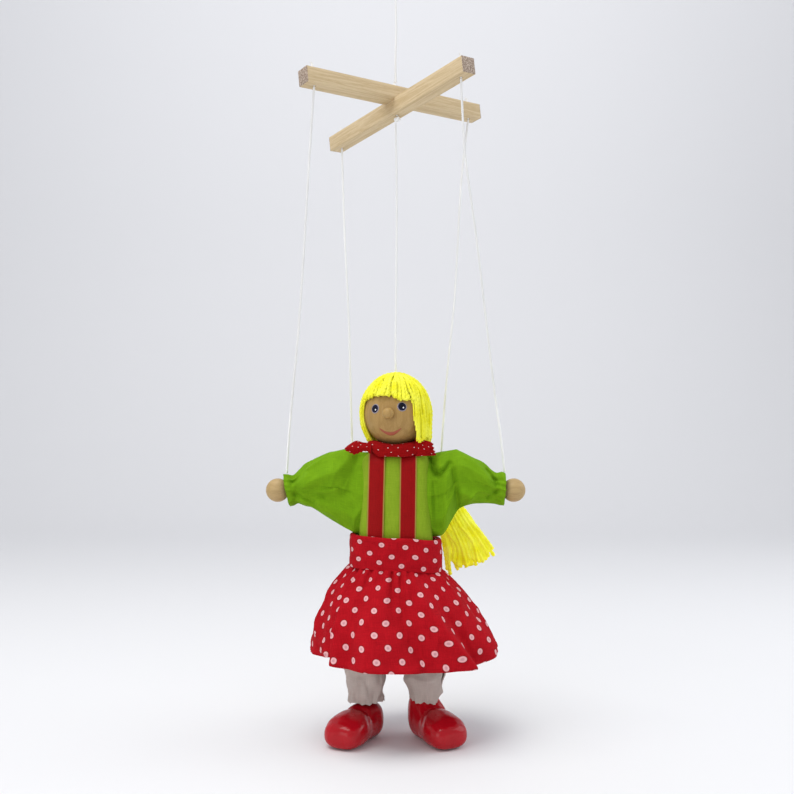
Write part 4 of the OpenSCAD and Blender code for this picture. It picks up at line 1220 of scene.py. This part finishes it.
def skirt_point(u, v):
    a = skirt_from + (skirt_to - skirt_from) * u
    down = v ** 1.25
    wide, deep = read(skirt_spread, down)
    fold = -1.2
    for place, width, height, lean_ in skirt_ridges:
        off = a - place + lean_ * (1 - down)
        fold += height * exp(-(off / width) ** 2)
    fold *= 1.15 * down ** 0.65
    crowded = 0.5 + 1.4 * exp(-((a - 268) / 16) ** 2) + 0.7 * exp(-((a - 236) / 8) ** 2)
    pleat = sin(radians(31 * a) + 3.5 * noise.noise(Vector((a * 0.04, 0, 0))))
    fold += 1.1 * crowded * pleat * exp(-down / 0.26) * (0.35 + 0.65 * min(1, down / 0.03))
    fold += soft_fold(a * 0.05, down * 3, 7, 1.6) * down
    fold += sharp_fold(a * 0.04, down * 2, 3, 1.5) * down ** 0.5
    # The outer edge of the wrap lies over the inner one, and the hem is double
    over = 2.4 * exp(-((a - skirt_from) / 13) ** 2) * down ** 0.6 - 3 * max(0, (a - 540) / 54)
    edge = 0.3 if down > 0.925 else 0
    edge -= 0.6 * max(0, (down - 0.985) / 0.015)
    grow = fold + over + edge
    x = (wide + grow) * cos(radians(a)) + 4.2 * down * down
    y = (deep + grow) * sin(radians(a))
    h = 90.4 - down * (90.4 - read(skirt_hem, a)[0])
    h += 0.15 * fold * down - (0.06 * x + 0.6) * (1 - down)
    return over_soles(x, y, h)


skirt = cloth_grid("skirt_cloth", 460, 64, skirt_point, (318, 54), 0, angle=80)
# The strip is cut on a curve, wider at the hem than at the waist
for corner in skirt.data.uv_layers.active.data:
    x, y = corner.uv
    corner.uv = ((96 - y) * sin((x - 45) / 150), -(96 - y) * cos((x - 45) / 150))
slits = [p for limb in ("right_leg", "left_leg") for p in along(limb_routes[limb][5:], 0.001)]
cut_away(skirt, lambda middle: any((middle - p).length < 0.0032 for p in slits))
thicken(skirt, 0.0004)
bpy.ops.object.shade_smooth_by_angle(angle=radians(70))
dress(skirt, dotted_cotton, "skirt", "torso")

# ---- Trousers ----
# White cotton legs with raw, slightly frayed hems, tied to the legs under the skirt. Each
# is made of an upper and a lower piece.
white_cotton = cotton("white_cotton", (0.43, 0.365, 0.33), (0.55, 0.475, 0.43), 0.4)[0]
trouser_r = 10.25
lower_rings = [
    (18.6, 0.7), (20.8, 0.74), (23, 0.8), (26, 0.88), (30, 0.94), (34, 0.97), (43, 0.96),
    (50, 0.94), (58, 0.9), (63, 0.84),
]
upper_rings = [(59, 0.92), (64, 0.99), (70, 0.97), (76, 0.9), (81, 0.78)]


def trouser_point(side, rings, seed):
    """A piece of a trouser leg; one that goes down to the hem is fuller and frayed."""
    low, high = rings[0][0], rings[-1][0]
    hemmed = low < 30

    def place(u, v):
        a = 2 * pi * u
        h = high + (low - high) * v
        r = trouser_r * read(rings, h)[0]
        near_hem = exp(-(h - low) / 6) if hemmed else 0
        upright = 0.5 * sin(7 * a + seed + 0.06 * h) * (0.35 + 0.65 * near_hem)
        upright += 0.35 * sin(15 * a + 2 * seed) * near_hem
        slack = soft_fold(cos(a) * 1.2 + seed, sin(a) * 1.2, h * 0.13, 1.7)
        slack += soft_fold(a * 2, h * 0.09, seed, 0.8)
        slack += sharp_fold(a * 0.8 + seed, h * 0.05, seed, 1.6) - 0.3
        r += (upright + slack) * (1 if hemmed else 0.5)
        if hemmed and v > 0.999:
            h += soft_fold(cos(a) * 4, sin(a) * 4, seed, 1.3)
        bow = -0.6 * sin(pi * (h - low) / (high - low))
        return over_soles(side * (16 + bow * 0.4) + r * cos(a), r * sin(a), h)
    return place


for side, name in ((-1, "right"), (1, "left")):
    for part, across, down, rings, seed, length, upper, lower, start, end, node in (
        ("cloth", 96, 72, lower_rings, 1.7, 45, name + "_thigh", "shin", 54, 42, "leg"),
        ("hip", 72, 24, upper_rings, 4, 22, "torso", "thigh", 81, 72, "top"),
    ):
        shape = trouser_point(side, rings, seed + side)
        label = name + "_trouser_"
        piece = cloth_grid(label + part, across, down, shape, (62, length), 0.45, merge=1e-6)
        start, end = (side * 0.016, 0, level(start)), (side * 0.016, 0, level(end))
        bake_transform(piece)
        dress(piece, white_cotton, label + node)

# ---- Shoes ----
# Solid wooden clogs under glossy red paint, with a round toe, a groove over the instep and
# a flat sole. They turn on a peg at the foot of the leg.
shoe_paint, tree, shader = finish(
    "shoe_paint", (0.4, 0.003, 0.009), 0.3, Coat_Weight=0.4, Coat_Roughness=0.1,
    Specular_IOR_Level=0.08,
)
place = add(tree, "TexCoord").outputs["Object"]
brushed = cloud(tree, place, 120, 3)
reds = mix(tree, brushed, (0.34, 0.002, 0.007), (0.48, 0.006, 0.014))
cover(tree, shader, reds, cloud(tree, place, 420, 1), 0.2, 0.00025)
feed(tree, shader, {"Roughness": span(tree, brushed, 0.3, 0.7, 0.16, 0.32)})

# Sections from the toe: place along, half width, lowest and highest point, in millimetres,
# and how much higher the heel of the left shoe is
shoe_rings = [
    (-29, 0.002, 5.998, 6.002), (-28.8, 3.8, 3.3, 8.6), (-28.2, 6.4, 1.4, 10.2),
    (-26.6, 8.8, 0.2, 11.8), (-24, 10.1, -0.7, 13.3), (-21.3, 10.7, -1, 14.8),
    (-16, 10.7, -1.2, 16), (-11, 9.7, -1.2, 16.6), (-8.6, 9.1, -1.2, 16.2),
    (-6.5, 8.9, -1.2, 17.2), (-1.5, 8.8, -1.2, 17.8), (3, 8.8, -0.9, 17.7),
    (6.5, 7.2, 0.5, 16.8), (8.2, 4.6, 3.2, 14.8), (8.8, 2.4, 6, 12.6), (9, 0.002, 9.298, 9.302),
]
left_heel = [(-29, 0), (-12, 0), (-6.5, 2), (-1.5, 4.6), (3, 6.2), (6.5, 6.4), (9, 4.5)]


def shoe_point(side):
    """A clog, turned out on its peg; the rings are set closer near its ends."""
    turn, peg = spun(29 * side), over_soles(side * 16, 0, 0)
    shape = oval(1, 1, 0.78)

    def place(u, v):
        run = -29 + 38 * (0.5 - 0.5 * cos(pi * v))
        half, low, high = read(shoe_rings, run)
        high += read(left_heel, run)[0] if side > 0 and half > 0.01 else 0
        x, z = shape(u)
        x, z = x * half, (low + high) / 2 + z * (high - low) / 2
        groove = exp(-((run + 8.2 + 0.05 * x * x) / 1.9) ** 2) * max(0, (z - 6) / 11)
        x, z = x * (1 - 0.04 * groove), max(z - 0.7 * groove, 0.02)
        return peg + turn @ (Vector((side * x, run, z)) / 1000)
    return place


for side, name in ((-1, "right"), (1, "left")):
    shape = shoe_point(side)
    shoe = cloth_grid(name + "_clog", 72, 84, shape, (60, 60), 0, merge=1e-5, angle=50)
    dress(shoe, shoe_paint, name + "_shoe", name + "_shoe")
